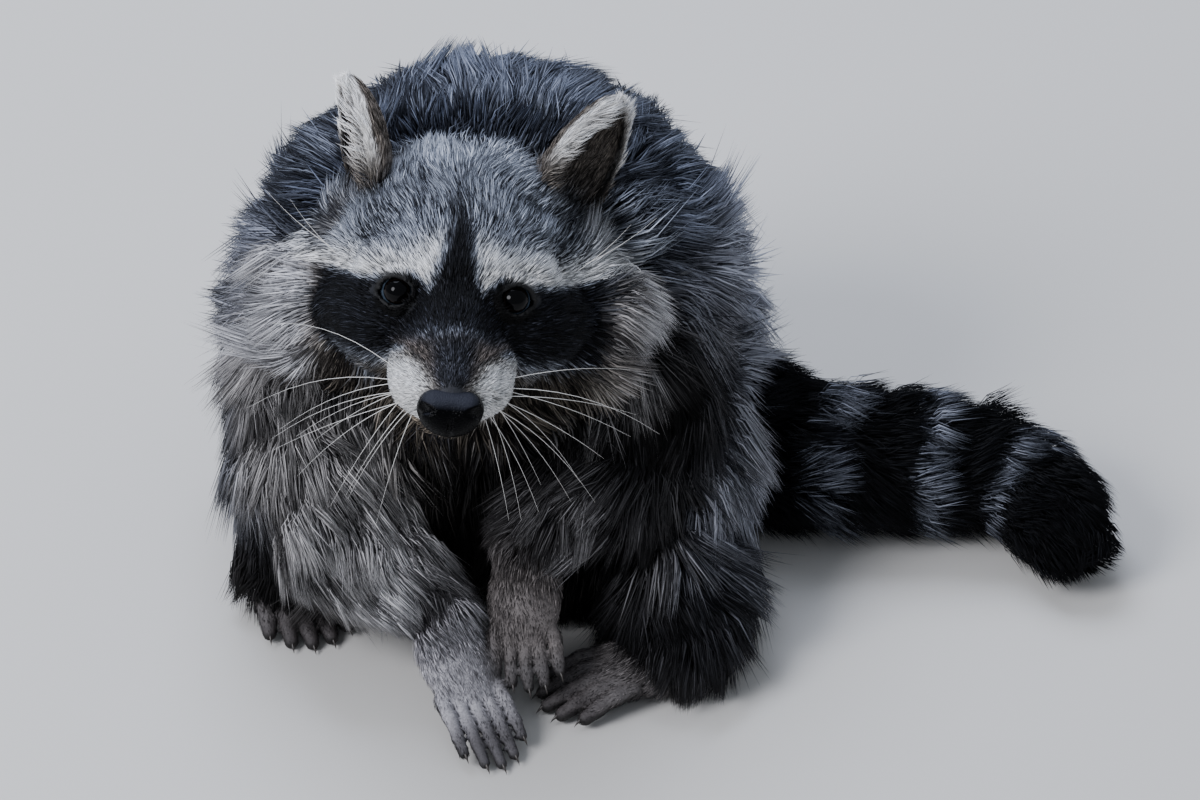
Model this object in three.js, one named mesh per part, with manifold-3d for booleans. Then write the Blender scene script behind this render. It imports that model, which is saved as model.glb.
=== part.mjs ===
// A raccoon sitting hunched on its rump, its fore paws set down between its hind feet and its
// ringed tail laid round its left side: a still, life-size model in millimetres. +Z is up and the
// animal faces -Y, so +X is its left. Every solid reaches out to the tips of the coat.
//
// The body is one mass, given as a signed distance: balls and tapers melted into each other. It is
// modelled whole and parted by thin flat cuts into head, neck, trunk and legs. The tail, paws and
// ears are masses of their own that lie against it.

import * as THREE from "three";
import Module from "manifold-3d";

const wasm = await Module();
wasm.setup();

// ---- Driving dimensions --------------------------------------------------------------------

const GAP = 0.6; // left between neighbouring solids
const REACH = 600; // larger than the animal

// The steps of the nets that make the solids' faces.
const BODY_CELL = 22;
const TAIL_CELL = 21.4;
const HEAD_CELL = 11.5;
const SNOUT_CELL = 7;
const ROD_SIDES = 5;

const EYE_SPACING = 47;
const EYE_RADIUS = 7.2;
const EYES_AT = [-9, 66, 187]; // the point midway between the eyes
const HEAD_PITCH = 12; // degrees, nose up
const HEAD_ROLL = 5; // degrees, crown towards the animal's left

const TRUNK_WIDTH = 222; // across the flanks, coat included
const TAIL_THICKNESS = 78;
const DIGITS = 5;

// ---- Shapes: { at(p): signed distance, box } ------------------------------------------------

const V = (x, y, z) => new THREE.Vector3(x, y, z);
const rad = THREE.MathUtils.degToRad;
const clamp = THREE.MathUtils.clamp;

/** An ellipsoid, its axes turned by a quaternion where one is given. */
function ball([x, y, z], [a, b, c], turn) {
  const centre = V(x, y, z);
  const inverse = turn ? turn.clone().invert() : null;
  const q = V(0, 0, 0);
  return {
    at(p) {
      q.subVectors(p, centre);
      if (inverse) q.applyQuaternion(inverse);
      const near = Math.hypot(q.x / a, q.y / b, q.z / c);
      const steep = Math.hypot(q.x / (a * a), q.y / (b * b), q.z / (c * c));
      return steep > 1e-9 ? (near * (near - 1)) / steep : -Math.min(a, b, c);
    },
    box: new THREE.Box3().setFromCenterAndSize(centre, V(2, 2, 2).multiplyScalar(Math.max(a, b, c))),
  };
}

/** Two balls of different sizes and the cone that wraps them. */
function taper(from, radiusFrom, to, radiusTo) {
  const start = V(...from);
  const axis = V(...to).sub(start);
  const length2 = axis.lengthSq();
  const narrowing = radiusFrom - radiusTo;
  const slant2 = length2 - narrowing * narrowing;
  const q = V(0, 0, 0);
  const side = V(0, 0, 0);
  const box = new THREE.Box3().setFromCenterAndSize(start, V(2, 2, 2).multiplyScalar(radiusFrom));
  box.union(new THREE.Box3().setFromCenterAndSize(V(...to), V(2, 2, 2).multiplyScalar(radiusTo)));
  return {
    at(p) {
      q.subVectors(p, start);
      const along = q.dot(axis);
      const past = along - length2;
      const out2 = side.copy(q).multiplyScalar(length2).addScaledVector(axis, -along).lengthSq();
      const lean = Math.sign(narrowing) * narrowing * narrowing * out2;
      if (Math.sign(past) * slant2 * past * past * length2 > lean)
        return Math.sqrt(out2 + past * past * length2) / length2 - radiusTo;
      if (Math.sign(along) * slant2 * along * along * length2 < lean)
        return Math.sqrt(out2 + along * along * length2) / length2 - radiusFrom;
      return (Math.sqrt((out2 * slant2) / length2) + along * narrowing) / length2 - radiusFrom;
    },
    box,
  };
}

/** Shapes melted together: the fillet between two of them is about a quarter of reach deep. */
function melt(reach, ...shapes) {
  const box = shapes.reduce((whole, s) => whole.union(s.box), new THREE.Box3());
  return {
    at(p) {
      let nearest = shapes[0].at(p);
      for (let i = 1; i < shapes.length; i++) {
        const other = shapes[i].at(p);
        const shared = Math.max(reach - Math.abs(nearest - other), 0) / reach;
        nearest = Math.min(nearest, other) - (shared * shared * reach) / 4;
      }
      return nearest;
    },
    box: box.expandByScalar(reach / 4),
  };
}

/** A limb: tapers through a list of [x, y, z, radius]. */
function limb(joints, reach = 6) {
  const bones = joints.slice(1).map((to, i) => {
    const from = joints[i];
    return taper(from.slice(0, 3), from[3], to.slice(0, 3), to[3]);
  });
  return melt(reach, ...bones);
}

/** A shape given in a frame of its own, placed by a matrix. */
function placed(shape, matrix) {
  const inverse = matrix.clone().invert();
  const q = V(0, 0, 0);
  return {
    at: (p) => shape.at(q.copy(p).applyMatrix4(inverse)),
    box: shape.box.clone().applyMatrix4(matrix),
  };
}

// ---- From a shape to a solid ----------------------------------------------------------------

const CORNERS = [0, 1, 2, 3, 4, 5, 6, 7].map((c) => [c & 1, (c >> 1) & 1, c >> 2]);
const EDGES = CORNERS.flatMap((a, i) =>
  [0, 1, 2].filter((axis) => !a[axis]).map((axis) => [i, i + (1 << axis)]),
);

/** Moves p towards the surface of a field, along the field's steepest way. */
function slideOnto(field, p, cell) {
  const step = cell / 50;
  const slope = V(0, 0, 0);
  const here = field(p);
  for (const axis of ["x", "y", "z"]) {
    p[axis] += step;
    slope[axis] = (field(p) - here) / step;
    p[axis] -= step;
  }
  const steep = slope.lengthSq();
  if (steep > 0.05) p.addScaledVector(slope, clamp(-here / steep, -cell / 2, cell / 2));
}

/** The closed surface where a field is zero, as a net of squares on a grid of this step. */
function netOf(field, box, cell) {
  const low = box.min.clone().divideScalar(cell).floor().subScalar(1).multiplyScalar(cell);
  const [nx, ny, nz] = box.max.clone().sub(low).divideScalar(cell).ceil().addScalar(2).toArray();
  const index = (i, j, k) => i + nx * (j + ny * k);
  const value = new Float32Array(nx * ny * nz);
  const p = V(0, 0, 0);
  for (let k = 0; k < nz; k++)
    for (let j = 0; j < ny; j++)
      for (let i = 0; i < nx; i++)
        value[index(i, j, k)] = field(p.set(i, j, k).multiplyScalar(cell).add(low)) || 1e-6;

  const vertices = [];
  const vertexOf = new Map();
  for (let k = 0; k < nz - 1; k++)
    for (let j = 0; j < ny - 1; j++)
      for (let i = 0; i < nx - 1; i++) {
        const at = CORNERS.map(([a, b, c]) => value[index(i + a, j + b, k + c)]);
        const crossed = EDGES.filter(([a, b]) => at[a] < 0 !== at[b] < 0);
        if (!crossed.length) continue;
        const middle = V(0, 0, 0);
        for (const [a, b] of crossed) {
          const share = at[a] / (at[a] - at[b]);
          middle.add(V(...CORNERS[a]).lerp(V(...CORNERS[b]), share));
        }
        middle.divideScalar(crossed.length).add(V(i, j, k)).multiplyScalar(cell).add(low);
        for (let pass = 0; pass < 3; pass++) slideOnto(field, middle, cell);
        vertexOf.set(index(i, j, k), vertices.length / 3);
        vertices.push(middle.x, middle.y, middle.z);
      }

  const triangles = [];
  const strides = [1, nx, nx * ny];
  const apart = (a, b) =>
    Math.hypot(...[0, 1, 2].map((n) => vertices[3 * a + n] - vertices[3 * b + n]));
  for (let k = 1; k < nz - 1; k++)
    for (let j = 1; j < ny - 1; j++)
      for (let i = 1; i < nx - 1; i++)
        for (let axis = 0; axis < 3; axis++) {
          const here = index(i, j, k);
          const inside = value[here] < 0;
          if (inside === value[here + strides[axis]] < 0) continue;
          const u = strides[(axis + 1) % 3];
          const v = strides[(axis + 2) % 3];
          const round = [here - u - v, here - v, here, here - u].map((c) => vertexOf.get(c));
          if (!inside) round.reverse();
          const [a, b, c, d] = round;
          if (apart(a, c) < apart(b, d)) triangles.push(a, b, c, a, c, d);
          else triangles.push(b, c, d, b, d, a);
        }
  return { vertices, triangles };
}

const manifoldOf = (vertices, triangles) =>
  new wasm.Manifold(
    new wasm.Mesh({
      numProp: 3,
      vertProperties: new Float32Array(vertices),
      triVerts: new Uint32Array(triangles),
    }),
  );

/** The solid of a shape within its box, or of that shape grown by some millimetres. */
function solidOf(shape, cell, grow = 0) {
  const box = shape.box.clone().expandByScalar(grow + cell / 4);
  const middle = box.getCenter(V(0, 0, 0));
  const half = box.getSize(V(0, 0, 0)).divideScalar(2);
  const outside = (p) =>
    Math.max(...["x", "y", "z"].map((axis) => Math.abs(p[axis] - middle[axis]) - half[axis]));
  const { vertices, triangles } = netOf((p) => Math.max(shape.at(p) - grow, outside(p)), box, cell);
  return manifoldOf(vertices, triangles);
}

/** A three.js geometry, placed by a matrix, as a solid. */
function solidFrom(geometry, matrix) {
  const placedGeometry = geometry.clone().applyMatrix4(matrix);
  const place = placedGeometry.getAttribute("position");
  const index = placedGeometry.getIndex();
  const merged = new Map();
  const vertices = [];
  const same = [];
  for (let i = 0; i < place.count; i++) {
    const point = [place.getX(i), place.getY(i), place.getZ(i)];
    const key = point.map((x) => Math.round(x * 1e3)).join();
    if (!merged.has(key)) {
      merged.set(key, vertices.length / 3);
      vertices.push(...point);
    }
    same.push(merged.get(key));
  }
  const triangles = [];
  for (let i = 0; i < index.count; i += 3) {
    const [a, b, c] = [0, 1, 2].map((n) => same[index.getX(i + n)]);
    if (a !== b && b !== c && c !== a) triangles.push(a, b, c);
  }
  return manifoldOf(vertices, triangles);
}

/** An egg: a sphere scaled to three radii in the frame of a matrix. */
function egg(frame, radii, around = 10) {
  const sphere = new THREE.SphereGeometry(1, around, Math.ceil(around * 0.65));
  return solidFrom(sphere, frame.clone().scale(V(...radii)));
}

/** A rod that narrows from one end to the other, with a claw on its far end if wanted. */
function rod(start, radiusStart, end, radiusEnd, claw = 0) {
  const length = start.distanceTo(end);
  const profile = [
    [0, -radiusStart],
    [radiusStart, 0],
    [radiusEnd, length],
    ...(claw ? [[0.45 * radiusEnd, length + 0.7 * radiusEnd]] : []),
    [0, length + radiusEnd + claw],
  ].map(([out, along]) => new THREE.Vector2(out, along));
  const way = end.clone().sub(start).normalize();
  const turn = new THREE.Quaternion().setFromUnitVectors(V(0, 1, 0), way);
  const matrix = new THREE.Matrix4().compose(start, turn, V(1, 1, 1));
  return solidFrom(new THREE.LatheGeometry(profile, ROD_SIDES), matrix);
}

/** A solid back as a three.js geometry. */
function geometryOf(solid) {
  const mesh = solid.getMesh();
  const vertices = new Float32Array(mesh.numVert * 3);
  for (let i = 0; i < mesh.numVert; i++)
    vertices.set(mesh.vertProperties.subarray(i * mesh.numProp, i * mesh.numProp + 3), i * 3);
  const geometry = new THREE.BufferGeometry();
  geometry.setAttribute("position", new THREE.BufferAttribute(vertices, 3));
  geometry.setIndex(new THREE.BufferAttribute(new Uint32Array(mesh.triVerts), 1));
  geometry.computeVertexNormals();
  return geometry;
}

/** The largest of the pieces that a cut leaves. */
const largest = (solid) => solid.decompose().sort((a, b) => b.volume() - a.volume())[0];

// ---- The head, in a frame whose origin is midway between the eyes -----------------------------

const headFrame = new THREE.Matrix4().compose(
  V(...EYES_AT),
  new THREE.Quaternion().setFromEuler(new THREE.Euler(rad(-HEAD_PITCH), rad(HEAD_ROLL), 0, "YXZ")),
  V(1, 1, 1),
);
const onHead = (shape) => placed(shape, headFrame);
const bothSides = (make) => [-1, 1].map(make);

const skull = melt(
  12,
  ball([0, 54, -4], [60, 50, 43]), // crown and temples
  ball([0, 20, 5], [40, 27, 22]), // forehead
  ...bothSides((side) => ball([side * 47, 40, -26], [36, 24, 32])), // cheek ruffs
  ...bothSides((side) => ball([side * 26, 15, -18], [28, 20, 23])), // round the eyes
);
const muzzle = melt(
  8,
  taper([0, 0, -15], 22, [0, -40, -28], 15),
  taper([0, 6, 1], 14, [0, -48, -20], 8), // bridge
  ...bothSides((side) => ball([side * 10.5, -35, -27], [14, 17, 12])), // whisker pads
);
const lowerJaw = melt(10, taper([0, 16, -43], 17, [0, -36, -42], 8));

const NOSE_AT = [0, -56, -27];
const NOSE_SIZE = [13, 8.5, 10.5];

// ---- The body: trunk, neck, head and legs in one mass -------------------------------------------

const HALF_WIDTH = TRUNK_WIDTH / 2;
const torso = melt(
  28,
  ball([4, 184, 128], [HALF_WIDTH * 0.96, 84, 91]), // the arched back
  ball([4, 184, 80], [HALF_WIDTH, 94, 84]), // flanks, belly and rump
  ball([0, 130, 96], [82, 62, 74]), // chest
  ball([46, 122, 38], [48, 42, 40]), // belly, between the left legs
  taper([-8, 122, 148], 44, [0, 156, 140], 70), // neck
);

// Each leg from the body outwards: [x, y, z, radius out to the tips of the coat].
const forelegs = [
  limb([[-66, 120, 102, 46], [-58, 76, 58, 36], [-27, 53, 45, 25]], 10),
  limb([[60, 118, 102, 44], [48, 84, 78, 34], [27, 66, 68, 24]], 10),
];
const hindlegs = [
  limb([[-64, 192, 88, 57], [-74, 114, 68, 37], [-76, 118, 32, 30]], 14),
  limb([[66, 184, 86, 57], [80, 116, 66, 41], [85, 60, 21, 36]], 14),
];
const head = onHead(skull);
const body = melt(14, melt(20, torso, ...forelegs, ...hindlegs), head);

/**
 * A paw or foot: a flat palm or sole from the wrist or heel to the knuckles, then five digits that
 * bend down to where their tips rest. The claws grow from the ends of the digits.
 */
function paw({ from, knuckles, tips, width, thickness, fan, digitRadius, claw }, grow = 0) {
  const start = V(...from);
  const bend = V(...knuckles);
  const forward = bend.clone().sub(start).normalize();
  const reachOut = V(...tips).sub(bend);
  const sideways = forward.clone().cross(V(0, 0, 1)).normalize();
  const up = sideways.clone().cross(forward).normalize();
  const middle = start.clone().lerp(bend, 0.6);
  const palmFrame = new THREE.Matrix4().makeBasis(sideways, forward, up).setPosition(middle);
  const palmSize = [width / 2, start.distanceTo(bend) * 0.62, thickness / 2].map((r) => r + grow);
  const thick = (radius) => radius + grow;
  const pieces = [
    egg(palmFrame, palmSize),
    rod(start, thick(thickness * 0.72), middle, thick(thickness * 0.5)),
  ];
  for (let i = 0; i < DIGITS; i++) {
    const across = i / (DIGITS - 1) - 0.5; // -0.5 on one edge of the paw, 0.5 on the other
    const length = 1 - 0.75 * across * across;
    const root = bend
      .clone()
      .addScaledVector(sideways, across * width * 0.8)
      .addScaledVector(forward, (length - 1) * width * 0.6);
    const way = reachOut.clone().addScaledVector(sideways, across * fan);
    const tip = root.clone().addScaledVector(way, length);
    tip.z = Math.max(tip.z, digitRadius * 0.6);
    const knuckle = root.clone().lerp(tip, 0.5).addScaledVector(up, digitRadius * 0.5);
    pieces.push(rod(root, thick(digitRadius * 1.1), knuckle, thick(digitRadius)));
    pieces.push(rod(knuckle, thick(digitRadius), tip, thick(digitRadius * 0.8), claw));
  }
  return pieces.reduce((whole, piece) => whole.add(piece));
}

const FORE_PAW = { width: 27, thickness: 19, fan: 4, digitRadius: 4.1, claw: 4.5 };
const HIND_FOOT = { width: 32, thickness: 20, fan: 8, digitRadius: 5, claw: 4 };
const PAWS = {
  forepaw_right: { ...FORE_PAW, from: [-19, 46, 40], knuckles: [-2, 12, 14], tips: [9, -10, 3] },
  forepaw_left: { ...FORE_PAW, from: [19, 62, 64], knuckles: [18, 37, 31], tips: [20, 25, 18] },
  hindfoot_right: { ...HIND_FOOT, from: [-90, 146, 14], knuckles: [-80, 94, 9], tips: [-73, 73, 3] },
  hindfoot_left: { ...HIND_FOOT, from: [104, 66, 14], knuckles: [54, 41, 9], tips: [28, 28, 3] },
};

// ---- The tail: rings along one curve, in three lengths ------------------------------------------

const TAIL_LINE = new THREE.CatmullRomCurve3(
  [
    V(34, 250, 46),
    V(88, 204, 39),
    V(138, 170, 38),
    V(198, 165, 37),
    V(236, 154, 33),
    V(251, 127, 26),
  ],
  false,
  "centripetal",
);

const TAIL_STEPS = 14;
const tail = limb(
  Array.from({ length: TAIL_STEPS + 1 }, (_, i) => {
    const { x, y, z } = TAIL_LINE.getPointAt(i / TAIL_STEPS);
    const radius = (TAIL_THICKNESS / 2) * (1 - 0.36 * (i / TAIL_STEPS) ** 3);
    return [x, y, Math.min(z, radius - 1.5), radius];
  }),
  4,
);

// ---- Ears, eyes and nose, each made in the head's frame ------------------------------------------

const EAR = { width: 40, height: 62, bowl: 15, rim: 3.4, hollow: 9 };

/** A bowl on its side, drawn up to a round tip: its hollow faces -Y before it is turned. */
function earGeometry() {
  const profile = [
    [0, EAR.bowl],
    [0.55, EAR.bowl * 0.86],
    [0.88, EAR.bowl * 0.48],
    [1, EAR.rim / 2],
    [0.96, -EAR.rim / 2],
    [0.74, EAR.hollow * 0.3],
    [0.4, EAR.hollow * 0.85],
    [0, EAR.hollow],
  ].map(([out, back]) => new THREE.Vector2(out, back));
  const geometry = new THREE.LatheGeometry(profile.reverse(), 14);
  const place = geometry.getAttribute("position");
  for (let i = 0; i < place.count; i++) {
    const up = place.getZ(i);
    const narrow = 1 - 0.22 * up - 0.12 * up * up;
    place.setXYZ(
      i,
      place.getX(i) * (EAR.width / 2) * narrow,
      place.getY(i),
      (up * EAR.height) / 2,
    );
  }
  return geometry;
}

const EARS = {
  ear_left: { base: [43, 54, 24], lean: 25, turnOut: 38, back: -6 },
  ear_right: { base: [-40, 54, 22], lean: -13, turnOut: -72, back: -6 },
};

function earSolid({ base, lean, turnOut, back }) {
  const turn = new THREE.Quaternion()
    .setFromEuler(new THREE.Euler(0, rad(lean), 0))
    .multiply(new THREE.Quaternion().setFromEuler(new THREE.Euler(rad(back), 0, rad(turnOut), "XYZ")));
  const centre = V(0, 0, EAR.height * 0.3).applyQuaternion(turn).add(V(...base));
  const matrix = headFrame.clone().multiply(new THREE.Matrix4().compose(centre, turn, V(1, 1, 1)));
  return solidFrom(earGeometry(), matrix);
}

const headEgg = (centre, radii, around) =>
  egg(headFrame.clone().multiply(new THREE.Matrix4().makeTranslation(...centre)), radii, around);
const eyeCentre = (side) => [(side * EYE_SPACING) / 2, 0.5, 0];
const grown = (radii, by) => radii.map((r) => r + by);

// ---- Parting the body ------------------------------------------------------------------------------

/** A cut stated in the head's frame. */
function onHeadCut({ at, out }) {
  const way = V(...out).transformDirection(headFrame);
  return { at: V(...at).applyMatrix4(headFrame).toArray(), out: way.toArray() };
}

// A cut is a point on its plane and the way that leads out of the part. Each part of the body is
// what its cuts leave of it, less the parts before it, and the trunk is the rest.
const NAPE = { at: [-8, 112, 158], out: [0, 0.8, -0.6] };
const THROAT = { at: [-9, 60, 122], out: [0, 0.35, -1] };
const SNOUT = onHeadCut({ at: [0, -11, 0], out: [0, 1, 0] });
const MOUTH = onHeadCut({ at: [0, -30, -41], out: [0, -0.08, -1] });
const ANKLES = {
  right: { at: [-80, 108, 14], out: [-0.25, 0.97, 0] },
  left: { at: [82, 51, 14], out: [0.89, 0.45, 0] },
};
const WRISTS = {
  right: { at: [-21.5, 45, 38.5], out: [-0.4, 0.7, 0.59] },
  left: { at: [20, 58, 58], out: [0.05, 0.6, 0.8] },
};
const reversed = ({ at, out }) => ({ at, out: out.map((x) => -x) });
const CUTS = {
  foreleg_left: [
    { at: [30, 100, 100], out: [-0.85, 0.45, 0.2] },
    { at: [66, 82, 70], out: [0.7, 0.5, -0.5] },
    { at: [60, 112, 148], out: [0, 0.3, 0.95] },
  ],
  foreleg_right: [
    { at: [-34, 100, 100], out: [0.85, 0.45, 0.2] },
    { at: [-82, 86, 62], out: [-0.6, 0.65, -0.45] },
    { at: [-66, 112, 148], out: [0, 0.3, 0.95] },
  ],
  hindleg_left: [
    { at: [56, 150, 80], out: [-1, 0, 0.15] },
    { at: [80, 170, 132], out: [0.2, 0, 0.98] },
    { at: [70, 246, 60], out: [0.2, 0.98, 0] },
  ],
  hindleg_right: [
    { at: [-56, 150, 80], out: [1, 0, 0.15] },
    { at: [-80, 170, 132], out: [-0.2, 0, 0.98] },
    { at: [-70, 246, 60], out: [-0.2, 0.98, 0] },
  ],
  neck: [
    { at: [0, 150, 150], out: [0, 0.76, -0.65] },
    { at: [0, 80, 112], out: [0, 0.35, -1] },
  ],
};

const everywhere = solidFrom(
  new THREE.BoxGeometry(2 * REACH, 2 * REACH, 2 * REACH),
  new THREE.Matrix4(),
);

/** What a list of cuts leaves of a solid, each cut moved outwards by some millimetres. */
function trim(solid, cuts, grow = 0) {
  return cuts.reduce((left, { at, out }) => {
    const inward = V(...out).normalize().negate();
    return left.trimByPlane(inward.toArray(), inward.dot(V(...at)) - grow);
  }, solid);
}

/** The solid of a shape's stretch within some cuts, made a little longer and then cut clean. */
function stretch(shape, cuts, cell, grow = 0) {
  const planes = cuts.map(({ at, out }) => ({ at: V(...at), out: V(...out).normalize() }));
  const beyond = (p) => Math.max(...planes.map(({ at, out }) => p.dot(out) - at.dot(out)));
  const box = shape.box;
  const longer = { at: (p) => Math.max(shape.at(p), beyond(p) - cell), box };
  return trim(solidOf(longer, cell), cuts, grow);
}

const solids = new Map();

// The snout is melted into the head, whose fine forms need a finer net than the rest.
const snout = melt(8, head, onHead(muzzle), onHead(lowerJaw));
const wholeHead = { at: melt(14, melt(20, torso, ...forelegs), snout).at, box: snout.box };
solids.set("head", stretch(wholeHead, [NAPE, THROAT, reversed(SNOUT)], HEAD_CELL, -GAP));
solids.set("muzzle", stretch(snout, [SNOUT, MOUTH], SNOUT_CELL));
solids.set("lower_jaw", stretch(snout, [SNOUT, reversed(MOUTH)], SNOUT_CELL, -GAP));

let rest = solidOf(body, BODY_CELL).subtract(trim(everywhere, [NAPE, THROAT]));
rest = rest.subtract(solidOf(tail, TAIL_CELL, 3 * GAP));
for (const [name, cuts] of Object.entries(CUTS)) {
  solids.set(name, trim(rest, cuts));
  rest = rest.subtract(trim(everywhere, cuts, GAP));
}
solids.set("trunk", rest);

// The paws and feet come out of the coat of the legs.
for (const side of ["left", "right"])
  for (const [name, joint] of [
    [`forepaw_${side}`, WRISTS[side]],
    [`hindfoot_${side}`, ANKLES[side]],
  ]) {
    solids.set(name, trim(paw(PAWS[name]), [joint]));
    const room = trim(paw(PAWS[name], GAP), [joint], GAP);
    for (const leg of ["foreleg_left", "foreleg_right", `hindleg_${side}`])
      solids.set(leg, solids.get(leg).subtract(room));
  }

// The tail in three lengths.
const TAIL_CUTS = [0.34, 0.66].map((t) => {
  const at = TAIL_LINE.getPointAt(t).toArray();
  return { at, out: TAIL_LINE.getTangentAt(t).toArray() };
});
const wholeTail = solidOf(tail, TAIL_CELL);
solids.set("tail_base", trim(wholeTail, [TAIL_CUTS[0]]));
solids.set("tail_middle", trim(wholeTail, [reversed(TAIL_CUTS[0]), TAIL_CUTS[1]], -GAP));
solids.set("tail_tip", trim(wholeTail, [reversed(TAIL_CUTS[1])]));

// Eyes, nose and ears.
for (const side of [-1, 1]) {
  const size = [EYE_RADIUS, EYE_RADIUS, EYE_RADIUS];
  const orbit = headEgg([side * 25, -12, 1], [11, 9.5, 8], 10);
  const socket = headEgg(eyeCentre(side), grown(size, GAP), 10);
  solids.set("head", solids.get("head").subtract(orbit).subtract(socket));
  solids.set(side > 0 ? "eye_left" : "eye_right", headEgg(eyeCentre(side), size, 10));
}
for (const name of ["muzzle", "lower_jaw"])
  solids.set(name, solids.get(name).subtract(headEgg(NOSE_AT, grown(NOSE_SIZE, GAP))));
let nose = headEgg(NOSE_AT, NOSE_SIZE);
for (const side of [-1, 1])
  nose = nose.subtract(headEgg([side * 7.5, NOSE_AT[1] - 7, NOSE_AT[2] + 1], [3, 4, 3.6], 6));
solids.set("nose", nose);
const earRoom = solidOf(wholeHead, HEAD_CELL, GAP);
for (const [name, ear] of Object.entries(EARS)) solids.set(name, earSolid(ear).subtract(earRoom));

// ---- The assembly ---------------------------------------------------------------------------------

const COLOURS = {
  fur: { color: 0x55585c, roughness: 0.9 },
  dark: { color: 0x2a2a2e, roughness: 0.9 },
  pale: { color: 0x8a8780, roughness: 0.85 },
  leather: { color: 0x17171a, roughness: 0.35 },
  glass: { color: 0x0a0807, roughness: 0.05 },
};
const FINISHES = {
  nose: "leather",
  eye_left: "glass",
  eye_right: "glass",
  tail_base: "dark",
  tail_middle: "dark",
  tail_tip: "dark",
  muzzle: "pale",
  lower_jaw: "pale",
  forepaw_left: "pale",
  forepaw_right: "pale",
  hindfoot_left: "pale",
  hindfoot_right: "pale",
};

const raccoon = new THREE.Group();
for (const [name, solid] of solids) {
  const standing = largest(solid.trimByPlane([0, 0, 1], 0));
  const finish = COLOURS[FINISHES[name] ?? "fur"];
  const mesh = new THREE.Mesh(
    geometryOf(standing),
    new THREE.MeshStandardMaterial({ ...finish, metalness: 0 }),
  );
  mesh.name = name;
  raccoon.add(mesh);
}

// The origin is the middle of the ground that the animal covers.
const extent = new THREE.Box3().setFromObject(raccoon);
const middle = extent.getCenter(V(0, 0, 0));
raccoon.position.set(-middle.x, -middle.y, -extent.min.z);

export default raccoon;
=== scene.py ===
# A life-size raccoon that sits hunched on its rump, dressed with its skin, coat, eyes, nose, claws
# and whiskers. Places on the animal are in millimetres in its own frame: +X is its left, +Y leads
# to its tail and +Z is up. p stands for points there, and q for points in the head's own frame.
import math

import bpy
import numpy as np
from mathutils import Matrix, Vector, kdtree, noise


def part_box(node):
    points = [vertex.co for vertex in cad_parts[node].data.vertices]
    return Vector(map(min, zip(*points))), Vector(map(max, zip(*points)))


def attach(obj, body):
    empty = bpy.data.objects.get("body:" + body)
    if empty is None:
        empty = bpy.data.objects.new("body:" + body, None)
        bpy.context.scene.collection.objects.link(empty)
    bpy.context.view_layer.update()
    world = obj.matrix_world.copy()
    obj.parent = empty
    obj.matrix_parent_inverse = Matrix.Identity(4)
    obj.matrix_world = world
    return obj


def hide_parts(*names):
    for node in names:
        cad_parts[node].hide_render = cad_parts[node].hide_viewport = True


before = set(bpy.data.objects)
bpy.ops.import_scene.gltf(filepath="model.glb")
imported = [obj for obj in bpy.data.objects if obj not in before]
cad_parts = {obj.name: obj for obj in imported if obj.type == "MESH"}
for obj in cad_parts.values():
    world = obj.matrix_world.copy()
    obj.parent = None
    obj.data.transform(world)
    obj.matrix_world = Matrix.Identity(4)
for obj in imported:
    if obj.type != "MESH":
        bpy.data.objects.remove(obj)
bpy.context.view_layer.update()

# ---- Camera ----------------------------------------------
# A long lens that looks down on the animal's face from the front. The eyes fix where the animal's
# own frame lies in the world, and the camera is set from them.


def spin(axis, degrees):
    """The matrix that turns by some degrees round one of the axes."""
    cos, sin = math.cos(math.radians(degrees)), math.sin(math.radians(degrees))
    return {
        "x": np.array([[1, 0, 0], [0, cos, -sin], [0, sin, cos]]),
        "y": np.array([[cos, 0, sin], [0, 1, 0], [-sin, 0, cos]]),
        "z": np.array([[cos, -sin, 0], [sin, cos, 0], [0, 0, 1]]),
    }[axis]


def middle_of(node):
    """The middle of a solid's box, in millimetres."""
    low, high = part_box(node)
    return np.array((low + high) / 2) * 1000


def show(name, data):
    """A new object in the scene that holds a mesh, curve, lamp or camera."""
    thing = bpy.data.objects.new(name, data)
    bpy.context.scene.collection.objects.link(thing)
    return thing


HEAD_AT = np.array([-9.0, 66.0, 187.0])  # the point midway between the eyes
HEAD_TURN = spin("y", 5) @ spin("x", -12)  # crown to its left, nose up
EYE = np.array([23.5, 0.5, 0.0])  # the left eye's centre in the head's frame
EYE_RADIUS = 7.2
BETWEEN_EYES = (middle_of("eye_left") + middle_of("eye_right")) / 2
SHIFT = BETWEEN_EYES - HEAD_AT - HEAD_TURN @ [0, EYE[1], 0]


def to_world(p):
    """From millimetres on the animal to metres in the world."""
    return (np.asarray(p) + SHIFT) / 1000


def to_head(p):
    """From the animal's frame to the head's."""
    return (p - np.float32(HEAD_AT)) @ np.float32(HEAD_TURN)


def from_head(q):
    """From the head's frame to the animal's."""
    return q @ HEAD_TURN.T + HEAD_AT


LOOK_AT = HEAD_AT + [59, 34, -76]  # the middle of the view
LOOK_DOWN = 35  # degrees
DISTANCE = 2567
LENS, SENSOR = 182.9, 36  # millimetres, as on a real camera
camera = show("camera", bpy.data.cameras.new("camera"))
camera.data.lens = LENS
camera.data.sensor_width = SENSOR
camera.data.clip_start = 0.1
camera.rotation_euler = (math.radians(90 - LOOK_DOWN), 0, 0)
camera.location = to_world(LOOK_AT + DISTANCE * (spin("x", -LOOK_DOWN) @ [0, -1, 0]))
bpy.context.scene.camera = camera

# ---- Floor and light -------------------------------------
# A pale paper sweep under soft light: one broad lamp above and behind, one in front, and a
# pale sky that fills the shadows.


def linear(colour):
    """An sRGB hex value as linear light, with a full alpha."""
    parts = [((colour >> shift) & 255) / 255 for shift in (16, 8, 0)]
    return (*(c / 12.92 if c < 0.04045 else ((c + 0.055) / 1.055) ** 2.4 for c in parts), 1.0)


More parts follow.
